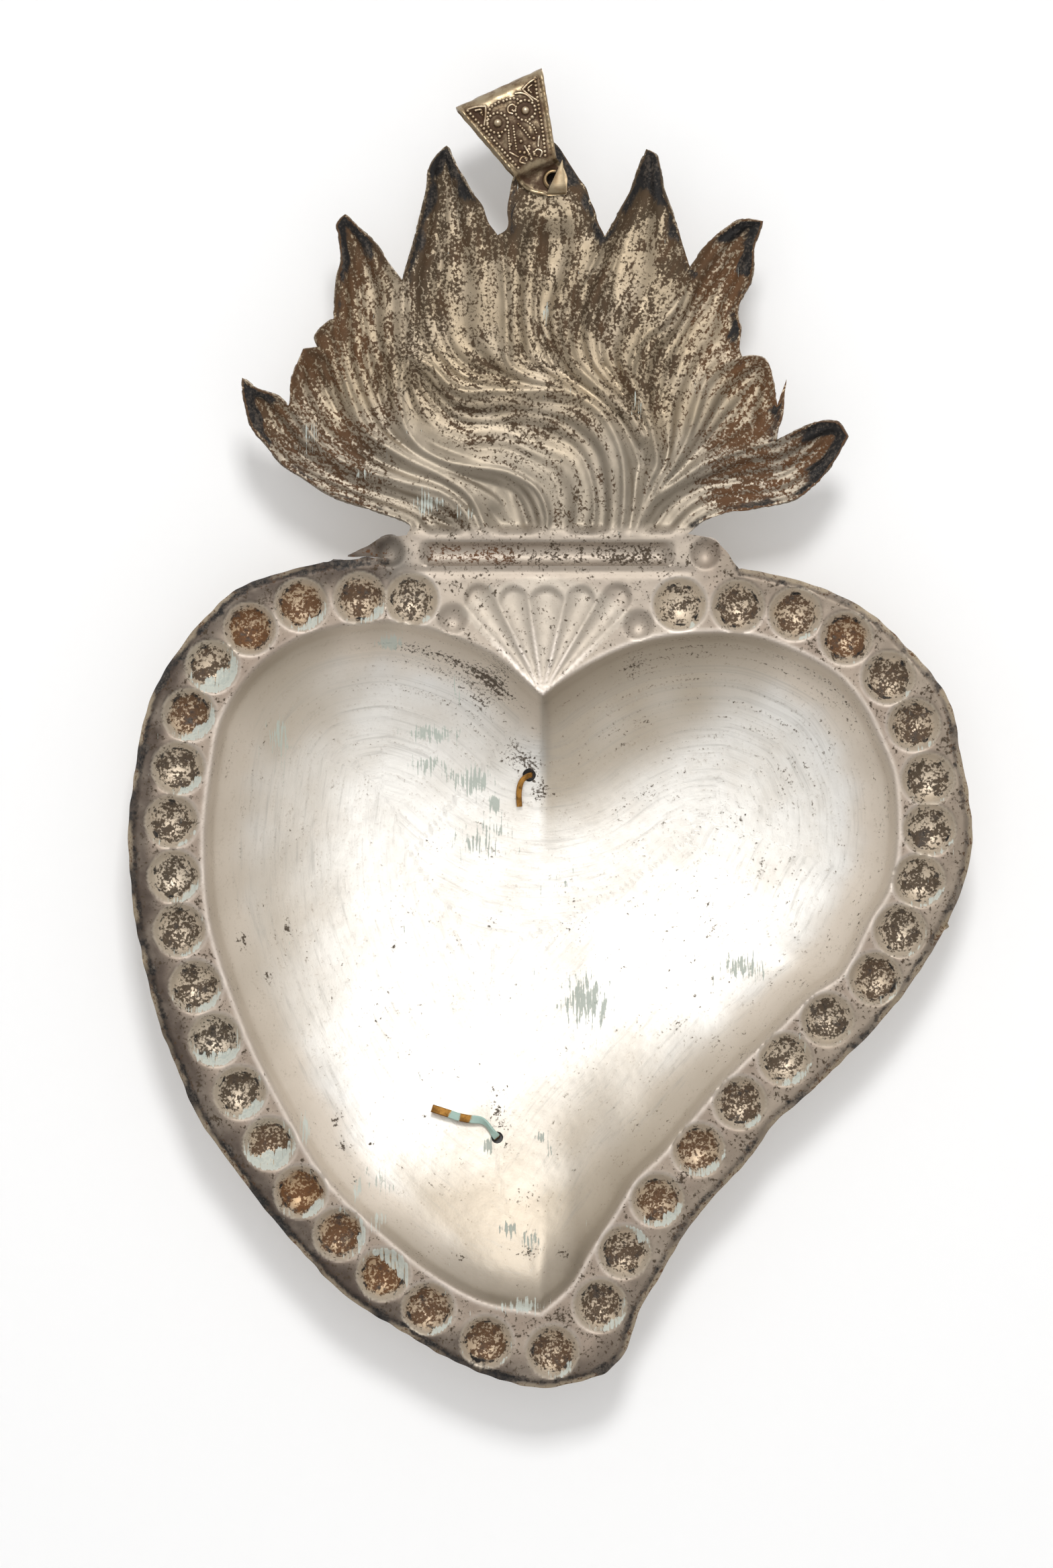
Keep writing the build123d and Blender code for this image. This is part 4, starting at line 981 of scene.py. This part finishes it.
# Bail: a tapered strip of silver folded over at the top and riveted at its two eyes, so that it
# straddles the tip of the middle flame. Its edges are rolled, and the pointed foot of the near
# leaf is bent up into an ear.
BAIL_SHEET = 0.5
BAIL_MIDDLE = -1.7          # middle line of the strip from the eyelet
BAIL_STAND = 2.65           # from the middle of the flame to that of the near leaf
BAIL_LOW, BAIL_TOP = 2.7, 15.8
BAIL_HALF_LOW, BAIL_HALF_TOP = 3.4, 7.1
BAIL_EYE = 1.23
BAIL_CROWN = 0.35           # by which the panel bulges
BAIL_ROLL = 0.3             # height of the rolled edges
BAIL_LIP = 0.28             # and of the rolled foot
BAIL_SUNK = 0.3             # depth of the corners of the panel
BAIL_HAMMERING = 0.06
BAIL_RAGGED = 0.05          # how far the shears strayed
BAIL_STEP = 0.22            # spacing of the mesh
# Points are in tenths of a millimetre from the eyelet, across the strip and up its own leaning axis.
# Section of the near leaf, from its foot to the fold: up, and out towards the front
NEAR_SECTION = (
    (-33, -6.7), (-15, -6.7), (5, -6.7), (16, -6.8), (21, -9.5), (25, -16.5), (29, -23.8),
    (34, -26.2), (60, -26.5), (100, -26.5), (136, -26.5), (146, -25), (153, -19), (155.5, -9),
)
# Outline of each leaf round its eye, right and left of its lowest point
EYE_RIGHT = ((8, -28), (16, -14), (21, 0), (20, 14), (17, 27))
EYE_LEFT = ((-51, 27), (-48, 13), (-43, 3), (-33, -9), (-20, -17), (-6, -23), (8, -28))
# The ear, in millimetres: the two ends of its base, and its tip
EAR_BASE = (np.array((-2.0, -1.7)), np.array((0.8, -2.8)))
EAR_TIP = np.array((2.45, 2.1))
EAR_CUT = 0.985             # share of its length at which the tip is cut off
EAR_SHEET = 0.34
EAR_FOOT = 0.7              # height of the ear's middle above that of the flame, where it begins
EAR_STAND = 1.55            # and where it has risen
EAR_CURL = 0.2              # by which its corners stand higher
EAR_ROWS, EAR_COLUMNS = 14, 8
# Sunk corners of the panel, between the edge wires and the scrolls, across from its middle line
CORNERS = (((-57, 144), (-31, 138), (-44, 113)), ((53, 147), (29, 137), (41, 114)))

bail_axis = Vector(frame["record"]["mounts"][0]["axis"])
bail_across = np.array(bail_axis.normalized())
bail_up = np.array(bail_axis.normalized().cross(Vector((0, 1, 0)))) * -1
bail_up *= np.sign(bail_up[2])


def bail_place(across, up, out):
    """Places in space from places on the bail's own axes, out being towards the front."""
    steps = np.outer(across, bail_across) + np.outer(up, bail_up) + np.outer(out, (0, 1, 0))
    return np.array(eyelet_place) + steps * MM


section = flowing(NEAR_SECTION + tuple((up, -out) for up, out in NEAR_SECTION[::-1]), LINE_STEP)
section_length = np.append(0, np.cumsum(np.hypot(*np.diff(section, axis=0).T)))
section_way = unit(np.gradient(section, axis=0))
near_half = len(section) // 2


def length_at(up):
    """Length along the section, from the near foot, to a height of the near leaf."""
    return np.interp(up, section[:near_half, 0], section_length[:near_half])


def half_width_at(up):
    """Half width of the strip at a height above the eyelet."""
    return np.interp(up, (BAIL_LOW, BAIL_TOP), (BAIL_HALF_LOW, BAIL_HALF_TOP))


def inside_triangle(points, corners):
    """How far points are inside a three-sided shape, in millimetres."""
    corners = np.array(corners) / 10
    gaps = []
    for a, b, c in ((0, 1, 2), (1, 2, 0), (2, 0, 1)):
        along = (corners[b] - corners[a]) / np.linalg.norm(corners[b] - corners[a])
        across = np.array((-along[1], along[0]))
        gaps.append(((points - corners[a]) @ across) * np.sign((corners[c] - corners[a]) @ across))
    return np.min(gaps, 0)


def in_corners(points, low, high):
    """How far points are inside one of the sunk corners, from 0 to 1."""
    return np.max([ease(inside_triangle(points, corners), low, high) for corners in CORNERS], 0)


def panel_relief(across, up):
    """Height of the panel's face above a flat sheet, across from the middle line and up."""
    half = half_width_at(up)
    edge = half - np.abs(across)
    points = np.column_stack([across, up])
    on_face = ease(up, 3.0, 4.2) * ease(up, 15.6, 14.2)
    crown = BAIL_CROWN * np.clip(1 - (across / half) ** 2, 0, 1) * on_face
    rolled = BAIL_ROLL * bell(edge, 0.3, 0.26) * ease(up, 2.0, 3.2) - 0.1 * bell(edge, 0.75, 0.14)
    sunk = -BAIL_SUNK * in_corners(points, 0.1, 0.4)
    leafy = 0.16 * ripple(points, 1.7, 41) * ease(up, 9.5, 7.5) * ease(edge, 0.9, 1.5) * on_face
    return crown + rolled + sunk + leafy


whole = section_length[-1]
run = np.arange(length_at(BAIL_LOW), whole - length_at(BAIL_LOW), BAIL_STEP)[1:]
run_half = half_width_at(np.interp(run, section_length, section[:, 0]))


def leaf_line(points, far):
    """Part of the strip's outline near an eye, on the near or the far leaf, laid out flat."""
    line = flowing(points, BAIL_STEP)
    along = length_at(line[:, 1])
    return np.column_stack([line[:, 0], whole - along if far else along])


bail_outline = np.vstack([
    leaf_line(EYE_RIGHT, False),
    np.column_stack([BAIL_MIDDLE + run_half, run]),
    leaf_line(EYE_RIGHT, True)[::-1],
    leaf_line(EYE_LEFT, True)[::-1][1:],
    np.column_stack([BAIL_MIDDLE - run_half, run])[::-1],
    leaf_line(EYE_LEFT, False)[:-1],
])
bail_outline += BAIL_RAGGED * np.column_stack([ripple(bail_outline, 2.0, seed) for seed in (42, 43)])
eye_length = float(length_at(0.0))
eyes = [(0, along, BAIL_EYE) for along in (eye_length, whole - eye_length)]
flat, triangles = fill(bail_outline, eyes, BAIL_STEP)
up, out, up_way, out_way = (
    np.interp(flat[:, 1], section_length, values) for values in (*section.T, *section_way.T)
)
panel = np.column_stack([flat[:, 0] - BAIL_MIDDLE, up])
relief = panel_relief(*panel.T) * ease(np.abs(out), 1.9, 2.4)
relief += BAIL_HAMMERING * ripple(flat, 2.2, 44)
# A rolled lip along the foot, left of the eyelet
lip_gap = nearest([bail_outline], flat)[0]
relief += BAIL_LIP * bell(lip_gap, 0.3, 0.25) * ease(up, 3.0, 2.2) * ease(flat[:, 0], -1.7, -2.3)
bail_sides = [
    bail_place(flat[:, 0], up + out_way * height, out - up_way * height)
    for height in (BAIL_SHEET / 2 + relief, np.full(len(flat), -BAIL_SHEET / 2))
]
if normals_of(bail_sides[0], triangles)[np.argmin(out), 1] > 0:
    triangles = triangles[:, ::-1]
bail_points, bail_faces = skin(*bail_sides, triangles)
# The ear: a three-sided tongue, curled up from the foot of the near leaf
rise, along = (shares.ravel() for shares in np.meshgrid(
    np.linspace(0, EAR_CUT, EAR_ROWS), np.linspace(0, 1, EAR_COLUMNS), indexing="ij"
))
ear_flat = blended(blended(*EAR_BASE, along), EAR_TIP, rise)
ear_out = EAR_FOOT + (EAR_STAND - EAR_FOOT) * ease(rise, -0.02, 0.2)
ear_out += EAR_CURL * (2 * along - 1) ** 2 * (1 - rise) * ease(rise, 0.1, 0.3)
cell = np.arange(EAR_ROWS * EAR_COLUMNS).reshape(EAR_ROWS, EAR_COLUMNS)
ear_triangles = np.vstack([
    np.column_stack([cell[:-1, :-1].ravel(), cell[:-1, 1:].ravel(), cell[1:, :-1].ravel()]),
    np.column_stack([cell[:-1, 1:].ravel(), cell[1:, 1:].ravel(), cell[1:, :-1].ravel()]),
])
ear_sides = [bail_place(*ear_flat.T, height - ear_out) for height in (-EAR_SHEET / 2, EAR_SHEET / 2)]
ear_triangles = facing_back(ear_sides[0], ear_triangles)
ear_points, ear_faces = skin(*ear_sides, ear_triangles)
# Where the stain has stayed and where the silver is rubbed
dark_corner = in_corners(panel, 0.05, 0.3)
edge = half_width_at(up) - np.abs(panel[:, 0])
worn = ease(lip_gap, 0.75, 0.4)
eye_stain = ease(up, 3.2, 2.4) * ease(lip_gap, 0.4, 0.9)
panel_stain = ease(edge, 0.8, 1.3) * ease(up, 3.0, 4.2) * ease(up, 14.0, 11.5)


def aged_silver(name, bright, stain, hollow_reach=0.7):
    """Silver with brown stain left in its hollows, and brighter where it is rubbed."""
    made, tree, surface = new_finish(name)
    cloud, specks = grain(tree, 1.8, 5), grain(tree, 0.35, 3)
    shelter = add_node(tree, "ShaderNodeAmbientOcclusion", {"Distance": hollow_reach * MM}, samples=8)
    left = total(
        tree, (shelter.outputs["AO"], -0.9), (cloud, 0.7), (specks, 0.35),
        (layer_of(tree, "stain"), 0.7), (layer_of(tree, "rubbed"), -0.35),
    )
    share = between(tree, left, -0.36, 0.06)
    metal = laid_over(tree, between(tree, cloud, 0.4, 0.7), bright, shade(136, 114, 86))
    connect(tree, surface, {
        "Base Color": laid_over(tree, share, metal, stain),
        "Metallic": between(tree, share, 0, 1, 1.0, 0.35),
        "Roughness": between(tree, share, 0, 1, 0.36, 0.7),
        "Normal": bumps(tree, total(tree, (cloud, 0.5), (specks, 0.5)), 0.25, 0.1),
    })
    return made


strip_silver = aged_silver("aged_bail_silver", shade(158, 142, 116), shade(66, 43, 22))
bail = new_piece("bail_strip_folded", bail_points, bail_faces, crisp=55)
stain = 0.15 + 0.9 * dark_corner + 0.34 * eye_stain + 0.2 * panel_stain
paint(bail, "stain", np.concatenate([stain, np.full(len(flat), 0.2)]))
paint(bail, "rubbed", np.concatenate([worn, np.zeros(len(flat))]))
ear = new_piece("bail_ear", ear_points, ear_faces, crisp=55)
paint(ear, "stain", np.concatenate([np.full(len(rise), -0.15), np.full(len(rise), 0.1)]))
paint(ear, "rubbed", np.concatenate([0.4 + 0.6 * ease(along, 0.25, 0.0), np.zeros(len(rise))]))
for piece in (bail, ear):
    piece.data.materials.append(strip_silver)
    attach(piece, "bail")
    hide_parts("bail_strip")

# Filigree: beaded and plain wires and round grains, soldered on both leaves of the bail. Places
# are in tenths of a millimetre, across from the middle line of the strip and up from the eyelet.
BEAD = 0.27                 # sizes of beads, wires, grains and flecks are radii
BEAD_EVERY = 0.58
BEAD_LINE_STEP = 0.02       # spacing of the samples along a row of beads
STEM_BEAD = 0.22
STEM_BEAD_EVERY = 0.42
PLAIN_WIRE = 0.17
WIRE_SIDES = 8
WIRE_STEP = 0.12            # spacing of the rings along a plain wire
WIRE_STAND = 0.6            # height of its middle above the panel, by its radius
GRAIN = 0.66
FLECK = 0.3
BALL_STAND = 0.4            # the same of beads and grains
BALL_TURNS, BALL_LEVELS = 10, 6
CIRCLE_POINTS = 17
SCROLL_RADIUS = 1.5
ROSETTE_RADIUS = 0.75
LEFT_GRAIN, RIGHT_GRAIN = (-24, 109), (21, 109)
LEFT_EDGE_ROW = ((-57, 144), (-51, 125), (-45, 107), (-39, 85), (-32, 62), (-24, 36))
RIGHT_EDGE_ROW = ((54, 147), (47, 125), (41, 104), (35, 82), (28, 59), (20, 36))
LEFT_TAIL = ((-39, 113), (-36, 121), (-30, 129), (-21, 135), (-10, 136))
RIGHT_TAIL = ((20, 124), (15, 131), (6, 134), (-3, 135))
RIGHT_ARC = ((17, 138), (26, 135), (33, 128), (37, 117))
FRAME_LINES = (
    ((-56, 146), (-43, 144), (-30, 139)),
    ((-30, 139), (-35, 128), (-44, 114)),
    ((-47, 140), (-38, 137), (-40, 129)),
)
STEM_ROWS = (
    ((-14, 92), (-19, 80), (-24, 66)),
    ((-5, 95), (-10, 79), (-15, 62)),
    ((3, 95), (7, 83), (10, 70)),
    ((17, 92), (22, 82), (22, 72)),
)
CURL_WIRES = (
    ((2, 112), (-3, 117), (0, 124), (7, 125), (10, 119), (6, 114), (3, 118)),
    ((12, 37), (18, 43), (13, 49), (6, 45), (9, 40)),
    ((-12, 37), (-18, 43), (-12, 48), (-6, 44), (-9, 40)),
    ((-2, 62), (-1, 52), (0, 40)),
    ((-26, 62), (-20, 54), (-17, 50)),
    ((24, 66), (19, 58), (16, 52)),
)
ROSETTE = (-1, 47)
FLECKS = ((-40, 133), (38, 134), (-30, 90), (26, 96), (-20, 72), (15, 66), (-4, 70), (4, 58), (-12, 56))


def on_panel(places, height):
    """How far things of some height on the panel stand off the middle of the flame."""
    return BAIL_STAND + BAIL_SHEET / 2 + panel_relief(*places.T) + height


def balls(places, radius):
    """Points and faces of round grains, sunk a little into the panel."""
    level, turn = (angles.ravel() for angles in np.meshgrid(
        np.linspace(0, math.pi, BALL_LEVELS + 1)[1:-1],
        np.linspace(0, 2 * math.pi, BALL_TURNS, endpoint=False),
        indexing="ij",
    ))
    shell = np.column_stack([np.sin(level) * np.cos(turn), np.sin(level) * np.sin(turn), np.cos(level)])
    shell = np.vstack([shell, (0, 0, 1), (0, 0, -1)])
    last = (BALL_LEVELS - 2) * BALL_TURNS
    mould = []
    for i in range(BALL_TURNS):
        j = (i + 1) % BALL_TURNS
        for ring in range(0, last, BALL_TURNS):
            below = ring + BALL_TURNS
            mould.append((ring + i, below + i, below + j, ring + j))
        mould += [(len(shell) - 2, i, j), (len(shell) - 1, last + j, last + i)]
    points, faces = [], []
    for place, stand in zip(places, on_panel(places, BALL_STAND * radius)):
        faces += [tuple(corner + len(shell) * len(points) for corner in face) for face in mould]
        points.append(np.append(place, stand) + shell * radius)
    return np.vstack(points), faces


def beads(line, radius=BEAD, every=BEAD_EVERY, closed=False):
    """A beaded wire along a line."""
    course = flowing(line, BEAD_LINE_STEP, closed)
    length = np.append(0, np.cumsum(np.hypot(*np.diff(course, axis=0).T)))
    count = max(2, round(length[-1] / every) + (not closed))
    spots = np.linspace(0, length[-1], count, endpoint=not closed)
    return balls(np.column_stack([np.interp(spots, length, values) for values in course.T]), radius)


def wire(line):
    """A plain round wire along a line."""
    course = flowing(line, WIRE_STEP)
    middle = np.column_stack([course, on_panel(course, WIRE_STAND * PLAIN_WIRE)])
    ahead = unit(np.gradient(middle, axis=0))
    sideways = unit(np.cross(ahead, (0, 0, 1.0)))
    upright = np.cross(sideways, ahead)
    turn = (np.arange(WIRE_SIDES) * 2 * math.pi / WIRE_SIDES)[:, None]
    round_it = np.cos(turn) * sideways[:, None] + np.sin(turn) * upright[:, None]
    points = (middle[:, None] + PLAIN_WIRE * round_it).reshape(-1, 3)
    return points, tube_faces(len(course), WIRE_SIDES)


def circle(centre, radius):
    """A closed ring of places round a centre."""
    turn = np.linspace(0, 2 * math.pi, CIRCLE_POINTS)
    return [(centre[0] + 10 * radius * math.cos(t), centre[1] + 10 * radius * math.sin(t)) for t in turn]


def mirrored(lines):
    """The same lines on the other side of the middle line."""
    return tuple(tuple((-across, up) for across, up in line) for line in lines)


wire_silver = aged_silver("beaded_wire_silver", shade(190, 174, 150), shade(66, 46, 26), 0.3)
rosette_ring = np.array(circle(ROSETTE, ROSETTE_RADIUS))[:-1:3]
left_ring, right_ring = (circle(centre, SCROLL_RADIUS) for centre in (LEFT_GRAIN, RIGHT_GRAIN))
stems = [beads(line, STEM_BEAD, STEM_BEAD_EVERY) for line in STEM_ROWS]
filigree = {
    "bail_left_edge_wire": [beads(LEFT_EDGE_ROW)],
    "bail_right_edge_wire": [beads(RIGHT_EDGE_ROW)],
    "bail_left_scroll": [beads(left_ring, closed=True), beads(LEFT_TAIL)],
    "bail_right_scroll": [beads(right_ring, closed=True), beads(RIGHT_TAIL), wire(RIGHT_ARC)],
    "bail_left_corner_frame": [wire(line) for line in FRAME_LINES],
    "bail_right_corner_frame": [wire(line) for line in mirrored(FRAME_LINES)],
    "bail_stems": stems + [wire(line) for line in CURL_WIRES],
    "bail_grains": [
        balls(np.array((LEFT_GRAIN, RIGHT_GRAIN)) / 10, GRAIN),
        balls(np.vstack([rosette_ring, ROSETTE, FLECKS]) / 10, FLECK),
    ],
}
for node, forms in filigree.items():
    points, faces = [], []
    for form_points, form_faces in forms:
        start = sum(map(len, points))
        faces += [tuple(corner + start for corner in face) for face in form_faces]
        points.append(form_points)
    points = np.vstack(points)
    count = len(points)
    both = [bail_place(BAIL_MIDDLE + points[:, 0], points[:, 1], side * points[:, 2]) for side in (-1, 1)]
    # Faces on the far leaf are turned about, because it mirrors the near one
    all_faces = faces + [tuple(corner + count for corner in face[::-1]) for face in faces]
    ornament = new_piece(node.replace("bail_", "filigree_"), np.vstack(both), all_faces, crisp=70)
    paint(ornament, "stain", np.zeros(2 * count))
    paint(ornament, "rubbed", np.full(2 * count, 0.9))
    ornament.data.materials.append(wire_silver)
    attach(ornament, "bail")
    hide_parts(node)

# Eyelet: a short silver tube through the flame and both leaves, with its ends rolled over, which
# the bail turns on. A dark disc of painted shade closes its far end.
# Sections: out from the axis, and along it towards the front
EYELET_SECTION = (
    (0.95, -1.2), (0.95, 1.2), (1.03, 1.33), (1.2, 1.36), (1.42, 1.3), (1.58, 1.16), (1.6, 1.06),
    (1.5, 1.01), (1.15, 1.0), (1.15, -1.0), (1.5, -1.01), (1.6, -1.06), (1.58, -1.16), (1.42, -1.3),
    (1.2, -1.36), (1.03, -1.33),
)
# A dark disc deep in the bore, fully stained: painted shade
SHADE_PLUG_SECTION = ((0.96, 0.9), (0.96, 1.1))
EYELET_TURNS = 40
turn = np.linspace(0, 2 * math.pi, EYELET_TURNS, endpoint=False)
eyelet_points = np.vstack([
    bail_place(radius * np.cos(turn), radius * np.sin(turn), np.full(EYELET_TURNS, level))
    for radius, level in EYELET_SECTION + SHADE_PLUG_SECTION
])
tube_count = len(EYELET_SECTION) * EYELET_TURNS
shade_plug_count = len(SHADE_PLUG_SECTION) * EYELET_TURNS
eyelet_faces = tube_faces(len(EYELET_SECTION), EYELET_TURNS, endless=True)
eyelet_faces += [
    tuple(corner + tube_count for corner in face[::-1])
    for face in tube_faces(len(SHADE_PLUG_SECTION), EYELET_TURNS)
]
eyelet = new_piece("rolled_eyelet", eyelet_points, eyelet_faces, crisp=60)
paint(eyelet, "stain", np.repeat((0.12, 1.0), (tube_count, shade_plug_count)))
paint(eyelet, "rubbed", np.full(len(eyelet_points), 0.2))
eyelet_silver = aged_silver("stained_eyelet_silver", shade(116, 98, 72), shade(46, 32, 20))
eyelet.data.materials.append(eyelet_silver)
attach(eyelet, "heart")
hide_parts("hanging_eyelet")

# Stage: a white wall close behind, as the white table under the real one, and a pale floor. Each is
# seen from its front alone, so that the part can be looked at from all sides.
WALL_PLACE = 0.0152
WALL_GLOW = 0.155
FLOOR_PLACE = -0.26
STAGE_REACH = 3
STAGE_GREY = (0.8, 0.8, 0.8, 1)
STAGE_ROUGHNESS = 0.9


def stage_plane(name, corners, finish):
    """A flat piece of the stage."""
    mesh = bpy.data.meshes.new(name)
    mesh.from_pydata(corners, [], [range(len(corners))])
    mesh.materials.append(finish)
    plane = bpy.data.objects.new(name, mesh)
    bpy.context.scene.collection.objects.link(plane)


def stage_finish(name, camera_only):
    """Pale grey that is clear from behind, and where camera_only is set, to all other rays too."""
    made, tree, surface = new_finish(name)
    connect(tree, surface, {"Base Color": STAGE_GREY, "Roughness": STAGE_ROUGHNESS})
    seen = add_node(tree, "ShaderNodeLightPath").outputs["Is Camera Ray"] if camera_only else 1.0
    behind = add_node(tree, "ShaderNodeNewGeometry").outputs["Backfacing"]
    shown = add_node(tree, "ShaderNodeMath", {0: seen, 1: behind}, operation="SUBTRACT", use_clamp=True)
    clear = add_node(tree, "ShaderNodeBsdfTransparent").outputs[0]
    inputs = {"Fac": shown.outputs[0], 1: clear, 2: surface.outputs[0]}
    veil = add_node(tree, "ShaderNodeMixShader", inputs)
    connect(tree, tree.nodes["Material Output"], {"Surface": veil.outputs[0]})
    return made, tree, surface


stage_corners = [(a * STAGE_REACH, b * STAGE_REACH) for a, b in ((-1, -1), (1, -1), (1, 1), (-1, 1))]
wall_finish, tree, surface = stage_finish("white_wall", camera_only=True)
connect(tree, surface, {"Emission Color": (1, 1, 1, 1), "Emission Strength": WALL_GLOW})
stage_plane("wall", [(a, WALL_PLACE, b) for a, b in stage_corners], wall_finish)
floor_finish, tree, surface = stage_finish("pale_floor", camera_only=False)
stage_plane("floor", [(a, b, FLOOR_PLACE) for a, b in stage_corners], floor_finish)

# Camera: square to the back of the sheet, 10 pixels of the photograph to a millimetre
CAMERA_DISTANCE = 1.1
PICTURE = (1568, 2335)
PIXELS_PER_MM = 10.0
ORIGIN_PIXEL = (744.85, 135.96)
SENSOR = 36.0
camera_data = bpy.data.cameras.new("camera")
camera_data.sensor_fit = "VERTICAL"
camera_data.sensor_height = SENSOR
camera_data.lens = SENSOR * CAMERA_DISTANCE / (PICTURE[1] / PIXELS_PER_MM * MM)
camera = bpy.data.objects.new("camera", camera_data)
camera.location = (
    (PICTURE[0] / 2 - ORIGIN_PIXEL[0]) / PIXELS_PER_MM * MM,
    -CAMERA_DISTANCE,
    (ORIGIN_PIXEL[1] - PICTURE[1] / 2) / PIXELS_PER_MM * MM,
)
camera.rotation_euler = (math.pi / 2, 0, 0)
bpy.context.scene.collection.objects.link(camera)
bpy.context.scene.camera = camera
bpy.context.scene.view_settings.view_transform = "Standard"

# Light: a soft box above, a broad panel in front, a lamp for the far side, and a pale sky that looks
# white and lights more softly
SKY_COLOUR = (1.0, 0.99, 0.98, 1)
SKY_LIGHT, SKY_SEEN = 0.4, 1.0
LAMP_AIM = Vector((0.0, 0.0, -0.1))
# Lamps: name, place, size and power
LAMPS = (
    ("soft_box", (0.05, -1.0, 0.5), 0.25, 7.0),
    ("panel_above", (-0.05, -1.3, 0.1), 1.0, 2.5),
    ("far_side", (0.4, 0.9, 0.5), 0.7, 4.0),
)
world = bpy.data.worlds.new("studio")
bpy.context.scene.world = world
world.use_nodes = True
tree = world.node_tree
rays = add_node(tree, "ShaderNodeLightPath").outputs
seen = total(tree, *[(rays[f"Is {kind} Ray"], 1.0) for kind in ("Camera", "Glossy", "Transmission")])
strength = between(tree, seen, 0, 1, SKY_LIGHT, SKY_SEEN)
connect(tree, tree.nodes["Background"], {"Color": SKY_COLOUR, "Strength": strength})
for name, place, size, power in LAMPS:
    lamp_data = bpy.data.lights.new(name, "AREA")
    lamp_data.energy = power
    lamp_data.size = size
    lamp = bpy.data.objects.new(name, lamp_data)
    lamp.location = place
    lamp.rotation_euler = (LAMP_AIM - lamp.location).to_track_quat("-Z", "Y").to_euler()
    bpy.context.scene.collection.objects.link(lamp)
